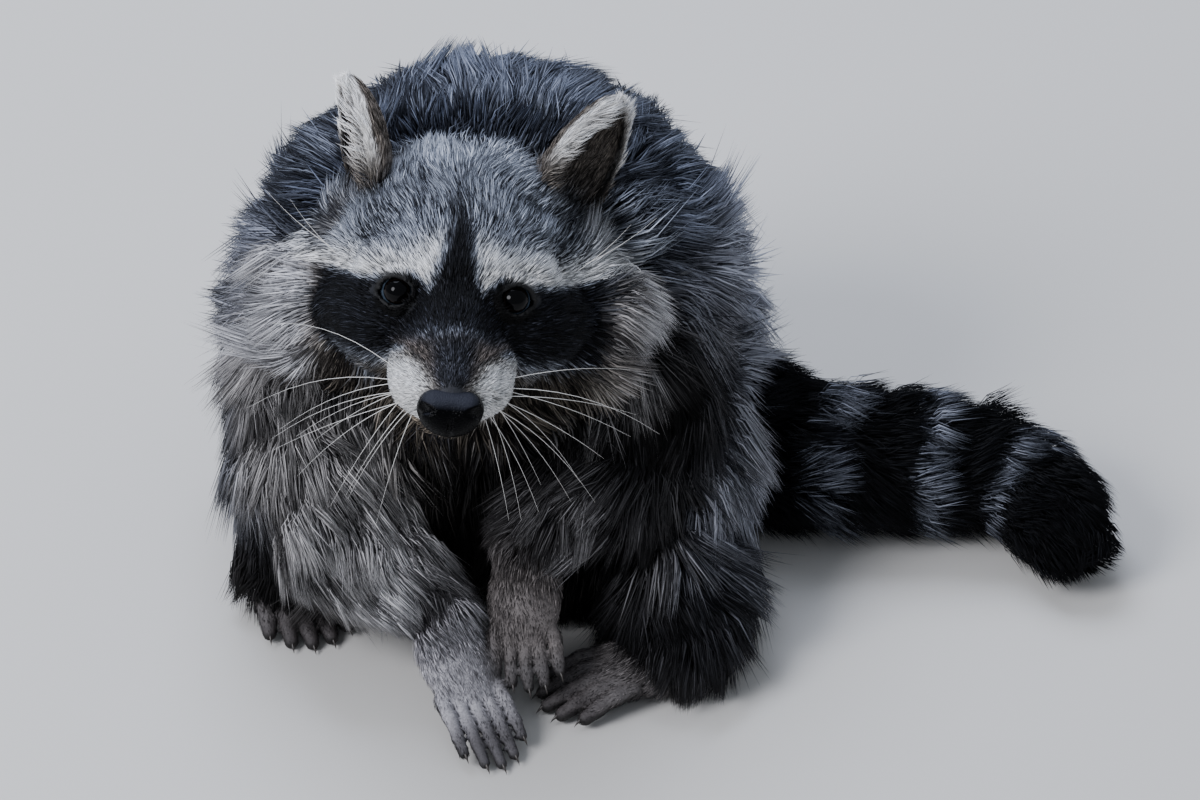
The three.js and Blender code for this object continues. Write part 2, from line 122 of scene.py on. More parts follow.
def add_node(tree, kind, links=(), **settings):
    """A new node with its settings, and its inputs set to values or linked to sockets."""
    node = tree.nodes.new(kind)
    for name, value in settings.items():
        setattr(node, name, value)
    for socket, value in dict(links).items():
        if isinstance(value, bpy.types.NodeSocket):
            tree.links.new(value, node.inputs[socket])
        else:
            node.inputs[socket].default_value = value
    return node


def new_material(name):
    """A material with an empty tree but for its output node, and the socket that its shader feeds."""
    material = bpy.data.materials.new(name)
    material.use_nodes = True
    tree = material.node_tree
    tree.nodes.clear()
    return material, tree, tree.nodes.new("ShaderNodeOutputMaterial").inputs["Surface"]


# Uncoated paper: it takes soft shadows and has no shine of its own.
FLOOR_SIZE = 6.0  # metres
paper, tree, surface = new_material("pale matt paper sweep")
shader = add_node(tree, "ShaderNodeBsdfPrincipled", {"Base Color": linear(0xDAD8D3), "Roughness": 0.9})
tree.links.new(shader.outputs[0], surface)
sheet = bpy.data.meshes.new("floor")
ends = (-FLOOR_SIZE / 2, FLOOR_SIZE / 2)
sheet.from_pydata([(x, y, 0) for x in ends for y in ends], [], [(0, 2, 3, 1)])
sheet.materials.append(paper)
floor = show("floor", sheet)


def area_lamp(name, place, size, power, colour):
    """A round lamp that faces the animal: its place and size in metres and its power in watts."""
    lamp = bpy.data.lights.new(name, "AREA")
    lamp.shape = "DISK"
    lamp.size = size
    lamp.energy = power
    lamp.color = linear(colour)[:3]
    holder = show(name, lamp)
    holder.location = place
    holder.rotation_euler = (-Vector(place)).to_track_quat("-Z", "Y").to_euler()


area_lamp("sky above and behind", (-0.5, 1.2, 2.3), 1.7, 52, 0xE2EAFF)
area_lamp("front left", (-2.0, -1.6, 2.1), 1.5, 92, 0xF6F7FF)
world = bpy.data.worlds.new("soft sky")
world.use_nodes = True
world.node_tree.nodes["Background"].inputs["Color"].default_value = linear(0xDAE1EE)
world.node_tree.nodes["Background"].inputs["Strength"].default_value = 0.55
bpy.context.scene.world = world

# ---- Skin: the shape of the body -------------------------
# One skin over the whole animal, inside its coat by the coat's depth: what shows is the wrists, hands
# and feet, the lids and the shape under the hair. Its parts are balls and tapers melted into each
# other, and a fine net is drawn where their distance is zero.


def length(v):
    return np.sqrt(np.einsum("ij,ij->i", v, v))


def unit(v):
    v = np.asarray(v, float)
    return v / np.maximum(np.linalg.norm(v, axis=-1, keepdims=True), 1e-9)


def ball(p, centre, radii):
    """Roughly the distance to a stretched ball."""
    q = p - np.float32(centre)
    near = length(q / np.float32(radii))
    steep = length(q / np.float32(radii) ** 2)
    return near * (near - 1) / np.maximum(steep, 1e-6)


def taper(p, start, end):
    """The distance to a rod between two joints (x, y, z, radius)."""
    a, b = np.float32(start[:3]), np.float32(end[:3])
    axis = b - a
    t = np.clip((p - a) @ axis / (axis @ axis), 0, 1)
    return length(p - a - t[:, None] * axis) - (start[3] + t * (end[3] - start[3]))


def melt(reach, *fields):
    """Fields joined by fillets where they come within some reach of each other."""
    nearest = fields[0]
    for other in fields[1:]:
        shared = np.maximum(reach - np.abs(nearest - other), 0) / reach
        nearest = np.minimum(nearest, other) - shared * shared * reach / 4
    return nearest


def limb(p, joints, reach):
    """Rods from joint to joint."""
    return melt(reach, *(taper(p, a, b) for a, b in zip(joints, joints[1:])))


FAR = 30  # beyond a part's room its distance only has to be more than any fillet


def inside_room(p, centre, radius, field):
    """A field worked out only within a ball that holds the part; elsewhere a safe stand-in."""
    away = length(p - np.float32(centre)) - radius
    value = away + FAR
    close = away < 0
    value[close] = field(p[close])
    return value


GAZE = unit([0.26, -0.92, 0.3])  # where the left eye looks, in the head's frame
EYE_ACROSS = unit(np.cross(GAZE, [0, 0, 1]))
EYE_UP = np.cross(EYE_ACROSS, GAZE)
LID_WIDE, LID_HIGH = 6.5, 5.5  # half sizes of the opening between the lids
LID_THICK = 1.7
NOSE_AT = np.array([0.0, -56.0, -27.0])


def one_sided(q):
    """Both halves of the head folded on to its left half."""
    return q * np.float32([1, 0, 0]) * np.sign(q[:, :1]) + q * np.float32([0, 1, 1])


def eye_opening(q):
    """Distance from the rim of the lids, negative where the eye shows. q is one-sided."""
    rel = q - np.float32(EYE)
    across, up = rel @ np.float32(EYE_ACROSS), rel @ np.float32(EYE_UP)
    almond = (np.hypot(across / LID_WIDE, up / LID_HIGH) - 1) * LID_HIGH
    corner = np.hypot((across + 5.6) / 2.4, (up + 1.6) / 1.3) - 1  # the tear duct, at the nose's side
    return np.maximum(np.minimum(almond, corner), -(rel @ np.float32(GAZE)))


def head_shape(p):
    """The bare head: the skull with its muscles, and the snout with its jaw."""
    q = one_sided(to_head(p))
    skull = melt(
        12,
        ball(q, [0, 52, -2], [53, 43, 40]),  # crown and temples
        ball(q, [0, 26, 9], [37, 25, 20]),  # forehead
        ball(q, [44, 42, -22], [27, 20, 24]),  # jaw muscles
        ball(q, [25, 14, -16], [25, 18.5, 20]),  # cheekbones
        taper(q, (6, 4, 9, 7), (30, 7, 8, 6)),  # brow
    )
    snout = melt(
        6,
        taper(q, (0, 0, -15, 20), (0, -40, -28, 12.5)),
        taper(q, (0, 6, 1, 12), (0, -48, -20, 7.2)),  # bridge
        ball(q, [10.5, -33, -26], [13, 15.5, 10.5]),  # whisker pads
        ball(q, [11, -18, -25], [13.5, 19, 12]),  # corners of the mouth
        taper(q, (0, 14, -40, 15), (0, -35, -39, 8)),  # lower jaw
        ball(q, NOSE_AT + [0, 3, -2.5], [9.5, 7, 6.5]),
    )
    return melt(8, skull, snout)


def torso_shape(p):
    """The body without its head, legs and tail."""
    return melt(
        28,
        ball(p, [4, 184, 128], [94, 71, 81]),  # arched back
        ball(p, [4, 184, 82], [97, 80, 70]),  # flanks, belly and rump
        ball(p, [0, 132, 98], [66, 46, 58]),  # chest
        ball(p, [6, 160, 58], [76, 58, 50]),  # belly, low between the hind legs
        ball(p, [44, 122, 35], [36, 29, 29]),  # belly, between the left legs
        taper(p, (-8, 122, 148, 35), (0, 156, 142, 56)),  # neck
    )


# Each leg from the body outwards: (x, y, z, radius of the skin).
LEGS = {
    "foreleg_right": [(-62, 120, 102, 30), (-56, 78, 60, 21), (-28, 53, 46, 13)],
    "foreleg_left": [(56, 118, 102, 29), (47, 86, 80, 20), (24, 66, 70, 12.5)],
    "hindleg_right": [(-60, 190, 88, 37), (-72, 118, 68, 24), (-79, 108, 29, 18)],
    "hindleg_left": [(62, 184, 86, 38), (77, 117, 67, 26), (84, 60, 21, 20)],
}

# A paw or foot: the wrist or heel, the knuckles and the middle digit's tip. Fan is how much wider the
# tips stand than the knuckles, and digit is the radius of one.
FORE_PAW = {"width": 30, "thickness": 16, "fan": 2, "digit": 2.7}
HIND_FOOT = {"width": 33, "thickness": 18, "fan": 7, "digit": 3.6}
PAWS = {
    "forepaw_right": {**FORE_PAW, "from": (-19, 46, 40), "knuckles": (-4, 16, 17), "tips": (9, -10, 3)},
    "forepaw_left": {**FORE_PAW, "from": (19, 62, 64), "knuckles": (18, 37, 31), "tips": (20, 24, 17)},
    "hindfoot_right": {**HIND_FOOT, "from": (-88, 140, 15), "knuckles": (-80, 94, 9), "tips": (-73, 73, 3)},
    "hindfoot_left": {**HIND_FOOT, "from": (98, 64, 16), "knuckles": (54, 41, 10), "tips": (28, 28, 4)},
}
DIGITS = 5


def paw_axes(paw):
    """A paw's wrist or heel, its knuckles, and the ways across, along and up from it."""
    start, bend = np.array(paw["from"], float), np.array(paw["knuckles"], float)
    forward = unit(bend - start)
    sideways = unit(np.cross(forward, [0, 0, 1]))
    return start, bend, sideways, forward, np.cross(sideways, forward)


def digits_of(paw):
    """The joints of a paw's five digits, from its left to its right."""
    bend, sideways, forward, up = paw_axes(paw)[1:]
    tips, thick = np.array(paw["tips"], float), paw["digit"]
    digits = []
    for i in range(DIGITS):
        across = i / (DIGITS - 1) - 0.5
        long = 1 - 0.75 * across**2
        root = bend + sideways * across * paw["width"] * 0.84
        root = root + forward * (long - 1) * paw["width"] * 0.6
        tip = root + (tips - bend + sideways * across * paw["fan"]) * long
        tip[2] = max(tip[2], thick * 0.8)
        first = root + (tip - root) * 0.36 + up * thick * 0.55
        second = root + (tip - root) * 0.72 + up * thick * 0.4
        radii = (1.12, 1.05, 0.95, 0.85)
        digits.append([(*joint, thick * r) for joint, r in zip((root, first, second, tip), radii)])
    return digits


def paw_shape(p, paw):
    """A hand or foot: a flat palm on its wrist or heel, and each digit melted on to it."""
    start, bend, *axes = paw_axes(paw)
    middle = start + (bend - start) * 0.6
    half_sizes = [paw["width"] / 2, np.linalg.norm(bend - start) * 0.5, paw["thickness"] / 2]
    in_palm = (p - np.float32(middle)) @ np.float32(np.stack(axes, 1))
    palm = melt(
        6,
        ball(in_palm, [0, 0, 0], half_sizes),
        taper(p, (*start, paw["thickness"] * 0.62), (*middle, paw["thickness"] * 0.5)),
    )
    return np.minimum.reduce([melt(2.5, palm, limb(p, joints, 1.5)) for joints in digits_of(paw)])


def spline(points, count):
    """Points at even steps along the smooth curve through some points, and the curve's length."""
    points = np.array(points, float)
    points = np.vstack([2 * points[0] - points[1], points, 2 * points[-1] - points[-2]])
    t = np.linspace(0, 1, 24, endpoint=False)[:, None]
    run = []
    for p0, p1, p2, p3 in zip(points, points[1:], points[2:], points[3:]):
        d0, d1, d2 = (np.linalg.norm(b - a) ** 0.5 for a, b in ((p0, p1), (p1, p2), (p2, p3)))
        m1 = ((p1 - p0) / d0 - (p2 - p0) / (d0 + d1) + (p2 - p1) / d1) * d1
        m2 = ((p2 - p1) / d1 - (p3 - p1) / (d1 + d2) + (p3 - p2) / d2) * d1
        run.append(
            (2 * t**3 - 3 * t**2 + 1) * p1
            + (t**3 - 2 * t**2 + t) * m1
            + (3 * t**2 - 2 * t**3) * p2
            + (t**3 - t**2) * m2
        )
    run = np.vstack([*run, points[-2]])
    along = np.concatenate([[0], np.cumsum(np.linalg.norm(np.diff(run, axis=0), axis=1))])
    steps = np.linspace(0, along[-1], count)
    return np.stack([np.interp(steps, along, run[:, i]) for i in range(3)], 1), along[-1]


TAIL_THICKNESS = 78  # over the coat, at its root
TAIL_SKIN = 0.56  # the skin's share of the coat's radius
TAIL_STEPS = 14
TAIL_LINE, TAIL_LENGTH = spline(
    [(34, 250, 46), (88, 204, 39), (138, 170, 38), (198, 165, 37), (236, 154, 33), (251, 127, 26)],
    TAIL_STEPS + 1,
)
TAIL_COAT = TAIL_THICKNESS / 2 * (1 - 0.36 * np.linspace(0, 1, TAIL_STEPS + 1) ** 3)
TAIL_LINE[:, 2] = np.minimum(TAIL_LINE[:, 2], TAIL_COAT - 1.5)


def tail_shape(p):
    return limb(p, np.column_stack([TAIL_LINE, TAIL_COAT * TAIL_SKIN]), 4)


EAR_WIDTH, EAR_HEIGHT = 40, 62
EARS = {
    "ear_left": {"base": (43, 54, 24), "lean": 25, "turn": 38},
    "ear_right": {"base": (-40, 54, 22), "lean": -13, "turn": -72},
}
for ear in EARS.values():
    ear["matrix"] = spin("y", ear["lean"]) @ spin("x", -6) @ spin("z", ear["turn"])
    ear["centre"] = ear["matrix"] @ [0, 0, EAR_HEIGHT * 0.3] + ear["base"]


def to_ear(p, ear):
    """Places in an ear's own frame: +Z to its tip and -Y out of its hollow, narrower towards the tip."""
    q = (to_head(p) - np.float32(ear["centre"])) @ np.float32(ear["matrix"])
    up = np.clip(q[:, 2] / (EAR_HEIGHT / 2), -1, 1)
    narrow = 1 - 0.16 * up - 0.08 * up * up
    q[:, 0] /= narrow
    return q


def ear_edge(e):
    """How near a place in the ear's frame is to its rim: 0 in the middle, 1 at the rim."""
    return np.hypot(e[:, 0] / (EAR_WIDTH / 2), e[:, 2] / (EAR_HEIGHT / 2))


def ear_shape(p, ear):
    """The shell of an ear, open to the front."""
    q = to_ear(p, ear)
    outside = ball(q, [0, 0, 0], [EAR_WIDTH / 2 - 1, 13, EAR_HEIGHT / 2 - 1])
    hollow = ball(q, [0, -1, 0], [EAR_WIDTH / 2 - 4.6, 9, EAR_HEIGHT / 2 - 4.6])
    return np.maximum(np.maximum(outside, -hollow), -q[:, 1] - 1.2)


def flesh(p):
    """The distance to each part of the body at points, by the part's name."""
    part = {
        "trunk": torso_shape(p),
        "head": inside_room(p, from_head(np.array([0, 20, -12])), 115, head_shape),
        "tail": inside_room(p, TAIL_LINE[TAIL_STEPS // 2], 200, tail_shape),
    }
    for name, joints in LEGS.items():
        part[name] = inside_room(p, joints[1][:3], 150, lambda q, j=joints: limb(q, j, 12))
    for name, paw in PAWS.items():
        centre = np.array(paw["knuckles"]) * 0.6 + np.array(paw["from"]) * 0.4
        part[name] = inside_room(p, centre, 62, lambda q, w=paw: paw_shape(q, w))
    for name, ear in EARS.items():
        part[name] = inside_room(p, from_head(ear["centre"]), 48, lambda q, e=ear: ear_shape(q, e))
    return part


FLOOR_GAP = 0.8  # the skin ends this far above the floor


def skin_shape(p):
    """The distance to the whole skin, with its lids and the sockets behind them."""
    part = flesh(p)
    body = melt(18, part["trunk"], *(part[name] for name in LEGS))
    body = melt(12, body, part["head"])
    body = melt(8, body, part["tail"])
    body = melt(4, body, *(part[name] for name in PAWS))
    body = melt(5, body, *(part[name] for name in EARS))
    q = one_sided(to_head(p))
    eye = length(q - np.float32(EYE))
    close = eye < 25
    lids = melt(4, body[close], eye[close] - EYE_RADIUS - LID_THICK)
    lids = np.maximum(lids, EYE_RADIUS + 0.15 - eye[close])  # the socket
    body[close] = np.maximum(lids, -eye_opening(q[close]))
    return np.maximum(body, FLOOR_GAP - p[:, 2])


def lines(low, high, fine, step, fine_step):
    """Grid lines from low to high, closer together within the fine stretches."""
    places = [low]
    while places[-1] < high:
        here = places[-1]
        closer = any(a - step < here < b for a, b in fine)
        places.append(here + (fine_step if closer else step))
    return np.array(places, np.float32)


def lattice(*ranges):
    """Every triple with one number from each range."""
    return np.stack(np.meshgrid(*ranges, indexing="ij"), -1).reshape(-1, 3)


def on_grid(grid, index):
    """The places where grid lines cross, by the numbers of the lines."""
    return np.stack([line[i] for line, i in zip(grid, index.T)], 1)


BLOCK = 8  # grid lines to a block: one that the surface can't reach takes its middle's value


def net(field, grid):
    """The closed surface where a field is zero, as four-sided faces on a grid of lines."""
    grid = [np.concatenate([g, g[-1] + np.arange(1, BLOCK - len(g) % BLOCK + 1) * 4]) for g in grid]
    nx, ny, nz = (len(g) for g in grid)
    starts = lattice(*(np.arange(0, n, BLOCK) for n in (nx, ny, nz)))
    ends = np.minimum(starts + BLOCK, [nx - 1, ny - 1, nz - 1])
    low, high = on_grid(grid, starts), on_grid(grid, ends)
    centre_value = field(((low + high) / 2).astype(np.float32))
    near = np.abs(centre_value) < length(high - low) * 0.62 + 2  # half a block across, and some
    value = np.empty((nx, ny, nz), np.float32)
    far_value = centre_value.reshape(nx // BLOCK, ny // BLOCK, nz // BLOCK)
    value[:] = far_value.repeat(BLOCK, 0).repeat(BLOCK, 1).repeat(BLOCK, 2)
    inner = lattice(*[np.arange(BLOCK)] * 3)
    for some in np.array_split(starts[near], max(1, near.sum() // 400)):
        at = (some[:, None] + inner).reshape(-1, 3)
        value[tuple(at.T)] = field(on_grid(grid, at).astype(np.float32))
    value[value == 0] = 1e-4
    inside = value < 0
    count = sum(
        inside[a : nx - 1 + a, b : ny - 1 + b, c : nz - 1 + c].astype(np.int8)
        for a, b, c in lattice(*[(0, 1)] * 3)
    )
    # One point in each cell that the surface passes, in the middle of where it cuts the cell's edges.
    cells = np.argwhere((count > 0) & (count < 8))
    total = np.zeros((len(cells), 3))
    crossings = np.zeros(len(cells))
    for axis in range(3):
        for corner in [(a, b) for a in (0, 1) for b in (0, 1)]:
            first = cells + np.insert(corner, axis, 0)
            second = cells + np.insert(corner, axis, 1)
            v1, v2 = value[tuple(first.T)], value[tuple(second.T)]
            cut = (v1 < 0) != (v2 < 0)
            share = np.where(cut, v1 / np.where(cut, v1 - v2, 1), 0)[:, None]
            p1, p2 = on_grid(grid, first), on_grid(grid, second)
            total += np.where(cut[:, None], p1 + (p2 - p1) * share, 0)
            crossings += cut
    spots = (total / crossings[:, None]).astype(np.float32)
    # Each point then slides on to the surface, and no farther than its own cell allows.
    size = (on_grid(grid, cells + 1) - on_grid(grid, cells)).min(1)
    for _ in range(3):
        here = field(spots)
        nudges = 0.1 * np.eye(3, dtype=np.float32)
        slope = np.stack([field(spots + nudge) - here for nudge in nudges], 1) / 0.1
        steep = np.einsum("ij,ij->i", slope, slope)
        move = np.clip(-here / np.maximum(steep, 0.25), -size / 3, size / 3)
        spots += move[:, None] * slope
    # A face crosses each edge of the grid that the surface cuts, and joins the four cells round it.
    number = np.full((nx, ny, nz), -1, np.int32)
    number[tuple(cells.T)] = np.arange(len(cells))
    faces = []
    for axis in range(3):
        step = np.eye(3, dtype=int)
        here = np.argwhere(np.diff(inside, axis=axis))
        u, v = step[(axis + 1) % 3], step[(axis + 2) % 3]
        here = here[(here[:, (axis + 1) % 3] > 0) & (here[:, (axis + 2) % 3] > 0)]
        quad = np.stack([number[tuple((here - d).T)] for d in (u + v, v, 0 * u, u)], 1)
        leaving = inside[tuple(here.T)]
        faces.append(np.where(leaving[:, None], quad, quad[:, ::-1]))
    return spots, np.vstack(faces)


def write_marks(mesh, colours):
    """Give each point of a mesh its linear colour, for the materials to read."""
    layer = mesh.color_attributes.new("markings", "FLOAT_COLOR", "POINT")
    layer.data.foreach_set("color", np.insert(colours, 3, 1, 1).astype(np.float32).ravel())


def mesh_piece(name, places, faces, colours=None):
    """A mesh object from places in millimetres and faces that all have as many corners."""
    mesh = bpy.data.meshes.new(name)
    corners = faces.shape[1]
    mesh.vertices.add(len(places))
    mesh.vertices.foreach_set("co", to_world(places).astype(np.float32).ravel())
    mesh.loops.add(faces.size)
    mesh.loops.foreach_set("vertex_index", faces.astype(np.int32).ravel())
    mesh.polygons.add(len(faces))
    mesh.polygons.foreach_set("loop_start", np.arange(0, faces.size, corners, dtype=np.int32))
    mesh.polygons.foreach_set("loop_total", np.full(len(faces), corners, np.int32))
    mesh.polygons.foreach_set("use_smooth", np.ones(len(faces), bool))
    mesh.update(calc_edges=True)
    if colours is not None:
        write_marks(mesh, colours)
    return show(name, mesh)


SKIN_STEP = 3.2
FINE_STEP = 1.55  # at the head, hands and feet
skin_places, skin_faces = net(
    skin_shape,
    [
        lines(-120, 285, [(-100, 72)], SKIN_STEP, FINE_STEP),
        lines(-24, 300, [(-22, 116)], SKIN_STEP, FINE_STEP),
        lines(-3, 255, [(-3, 44), (132, 255)], SKIN_STEP, FINE_STEP),
    ],
)

# ---- Markings --------------------------------------------
# Skin and coat take their colours from the same marks: a black mask, white brows and muzzle, pale
# ruffs, a grizzled back and a ringed tail. Each mark mixes dark and light hairs in some share. Some
# marks are painted light and shade, in whole or in part: the right fore paw lighter and the left fore
# leg and paw darker, and shade under the chin, inside the fore legs, behind the ruff and the crown,
# deep in the ears, between the digits and near the ground.

FACE_TILT = math.radians(23)  # the marks of the face are laid out as seen from this far above it
SPINE_X = 4  # the back's middle line lies a little to the animal's left
# Hair on the paws, then on their digits: dark hair, light hair, light share. The right fore paw's hair
# is painted lighter and the left one's darker: painted light and painted shade.
HIND_HAIR = ((0x3B3838, 0x85807F, 0.4), (0x262323, 0x6A6464, 0.35))
PAW_HAIR = {
    "forepaw_right": ((0x6E6C70, 0xCAC8CD, 0.54), (0x2B292A, 0x7C797D, 0.35)),
    "forepaw_left": ((0x443F3E, 0x8C8582, 0.42), (0x2E2B2B, 0x767272, 0.38)),
    "hindfoot_right": HIND_HAIR,
    "hindfoot_left": HIND_HAIR,
}
RING_SPACING = 41  # from one pale ring of the tail to the next
RING_AT = 108  # how far along the tail one of them has its middle
TAIL_END_AT = 257  # beyond this the tail's end is all dark


def step_up(value, width):
    """0 below zero, 1 above the width, smooth between."""
    t = np.clip(value / width, 0, 1)
    return t * t * (3 - 2 * t)


def colour(code):
    return np.array(linear(code)[:3])


def nearness(parts, softness=5.0):
    """1 for the part that a point lies on, less for the others the farther they are."""
    nearest = np.minimum.reduce(list(parts.values()))
    return {name: np.exp(-(d - nearest) / softness) for name, d in parts.items()}


def share_of(parts, names, softness=5.0):
    """How much of each point belongs to some of the parts, from 0 to 1."""
    weight = nearness(parts, softness)
    return sum(weight[name] for name in names) / sum(weight.values())


def head_zone(q):
    """1 on the head and the fur that belongs to it, 0 away from it."""
    return 1 - step_up(ball(q, [0, 22, -6], [100, 104, 78]) + 7, 14)


def face_marks(q):
    """The marks of the head, from the rear to the front: (place, dark hair, light hair, light share)."""
    side, up, back = np.abs(q[:, 0]), q[:, 2] * math.cos(FACE_TILT), q[:, 1]
    side = side - np.where(q[:, 0] > 0, 6, -3) * step_up(side - 30, 30)  # its left cheek shows more
    up = up + back * math.sin(FACE_TILT)
    # How high the brows and the mask reach, from the middle of the face outwards.
    brow_low = np.interp(
        side,
        [0, 7, 10, 13, 17, 27, 37, 47, 55, 66, 78, 90],
        [6, 5, 0, 4, 6.5, 5.5, 5, 5.5, 7.5, 9, 15, 20],
    )
    brow_top = np.interp(
        side, [0, 6, 15, 21, 34, 47, 55, 65, 79, 90], [26, 25, 21, 17, 16, 17, 19, 21, 27, 34]
    )
    brow_top = brow_top + 2.5 * (q[:, 0] > 20)  # a little higher on its left
    mask_low = np.interp(side, [0, 10, 18, 22, 30, 44, 58, 72], [-14, -16, -20, -23, -25, -23, -16, -7])
    # Half widths, from the nose upwards, of the grey bridge and of the dark stripe over the forehead.
    bridge_wide = np.interp(up, [-50, -43, -37, -29, -25, -20], [6.5, 8, 7, 12, 18, 26])
    stripe_wide = np.interp(up, [-5, 6, 16, 26, 38, 50], [10, 7, 4.4, 2.8, 1.4, -1])
    stripe_soft = 2 + 4 * step_up(up - 14, 24)
    front = 1 - step_up(back + 1, 9)
    below = step_up(mask_low - up, 6)
    ruff_top = np.interp(side, [52, 60, 80, 92], [22, 18, 8, -4])
    outer = step_up(side - 51, 12) * step_up(ruff_top - up + 4, 10) * step_up(up + 52, 26)
    in_mask = step_up(brow_low - up, 2) * step_up(up - mask_low + 3, 7) * (1 - step_up(side - 52, 11))
    in_brow = step_up(up - brow_low, 2.5) * step_up(brow_top - up + 5, 13)
    in_brow = in_brow * step_up(side - stripe_wide - 0.5, 4) * (1 - step_up(side - 60, 12))
    in_stripe = step_up(stripe_wide - side + stripe_soft, 2 * stripe_soft) * step_up(up + 8, 6)
    in_stripe *= 1 - 0.7 * step_up(up - 24, 28)
    on_bridge = step_up(bridge_wide - side + 1, 5) * step_up(-8 - up, 16) * step_up(up + 56, 4)
    white = step_up(-20 - up, 13) * front * step_up(side - bridge_wide + 3.5, 10)
    white *= 1 - step_up(side - 24, 4)
    temples = step_up(side - 40, 12) * step_up(up - 16, 10) * (1 - step_up(back - 44, 18))
    return [
        (temples, 0x2A2A30, 0xC0BFBF, 0.48),
        (below, 0x1D1916, 0x8A8073, 0.32),  # cheeks and throat
        (below * step_up(side - 50, 16), 0x33312F, 0xC6C4C2, 0.5),
        (outer, 0x332D29, 0xA69D92, 0.48),  # tan edge of the mask, then the pale ruff
        (outer * step_up(side - 57, 10), 0x444345, 0xE2E2E6, 0.57),
        # Behind the ruff: dark fur, and painted shade that sets the ruff off from the body.
        (step_up(side - 69, 20), 0x14161C, 0x777E8E, 0.2),  # dark again behind the ruff
        (in_mask, 0x08090D, 0x565A67, 0.17),
        (in_brow, 0x1E1E24, 0xFFFFFD, 0.75),
        (in_stripe, 0x0A0B0E, 0x5A5C64, 0.12),
        (on_bridge, 0x15161B, 0x646772, 0.24),
        (on_bridge * step_up(side - 4, 7) * step_up(-16 - up, 8), 0x282320, 0x887E77, 0.46),
        (white, 0x55534F, 0xFFFFFD, 0.8),  # sides of the muzzle
        (front * step_up(-q[:, 2] - 45, 6), 0x3A332D, 0xA89A88, 0.4),  # chin
    ]


def tail_share(p):
    """How far along the tail each point is, from 0 at its root to 1 at its tip."""
    away = np.linalg.norm(p[:, None] - TAIL_LINE[None], axis=2)
    nearest = np.clip(away.argmin(1), 1, TAIL_STEPS - 1)
    a, b = TAIL_LINE[nearest - 1], TAIL_LINE[nearest + 1]
    t = np.einsum("ij,ij->i", p - a, b - a) / np.einsum("ij,ij->i", b - a, b - a)
    return (nearest - 1 + 2 * np.clip(t, 0, 1)) / TAIL_STEPS


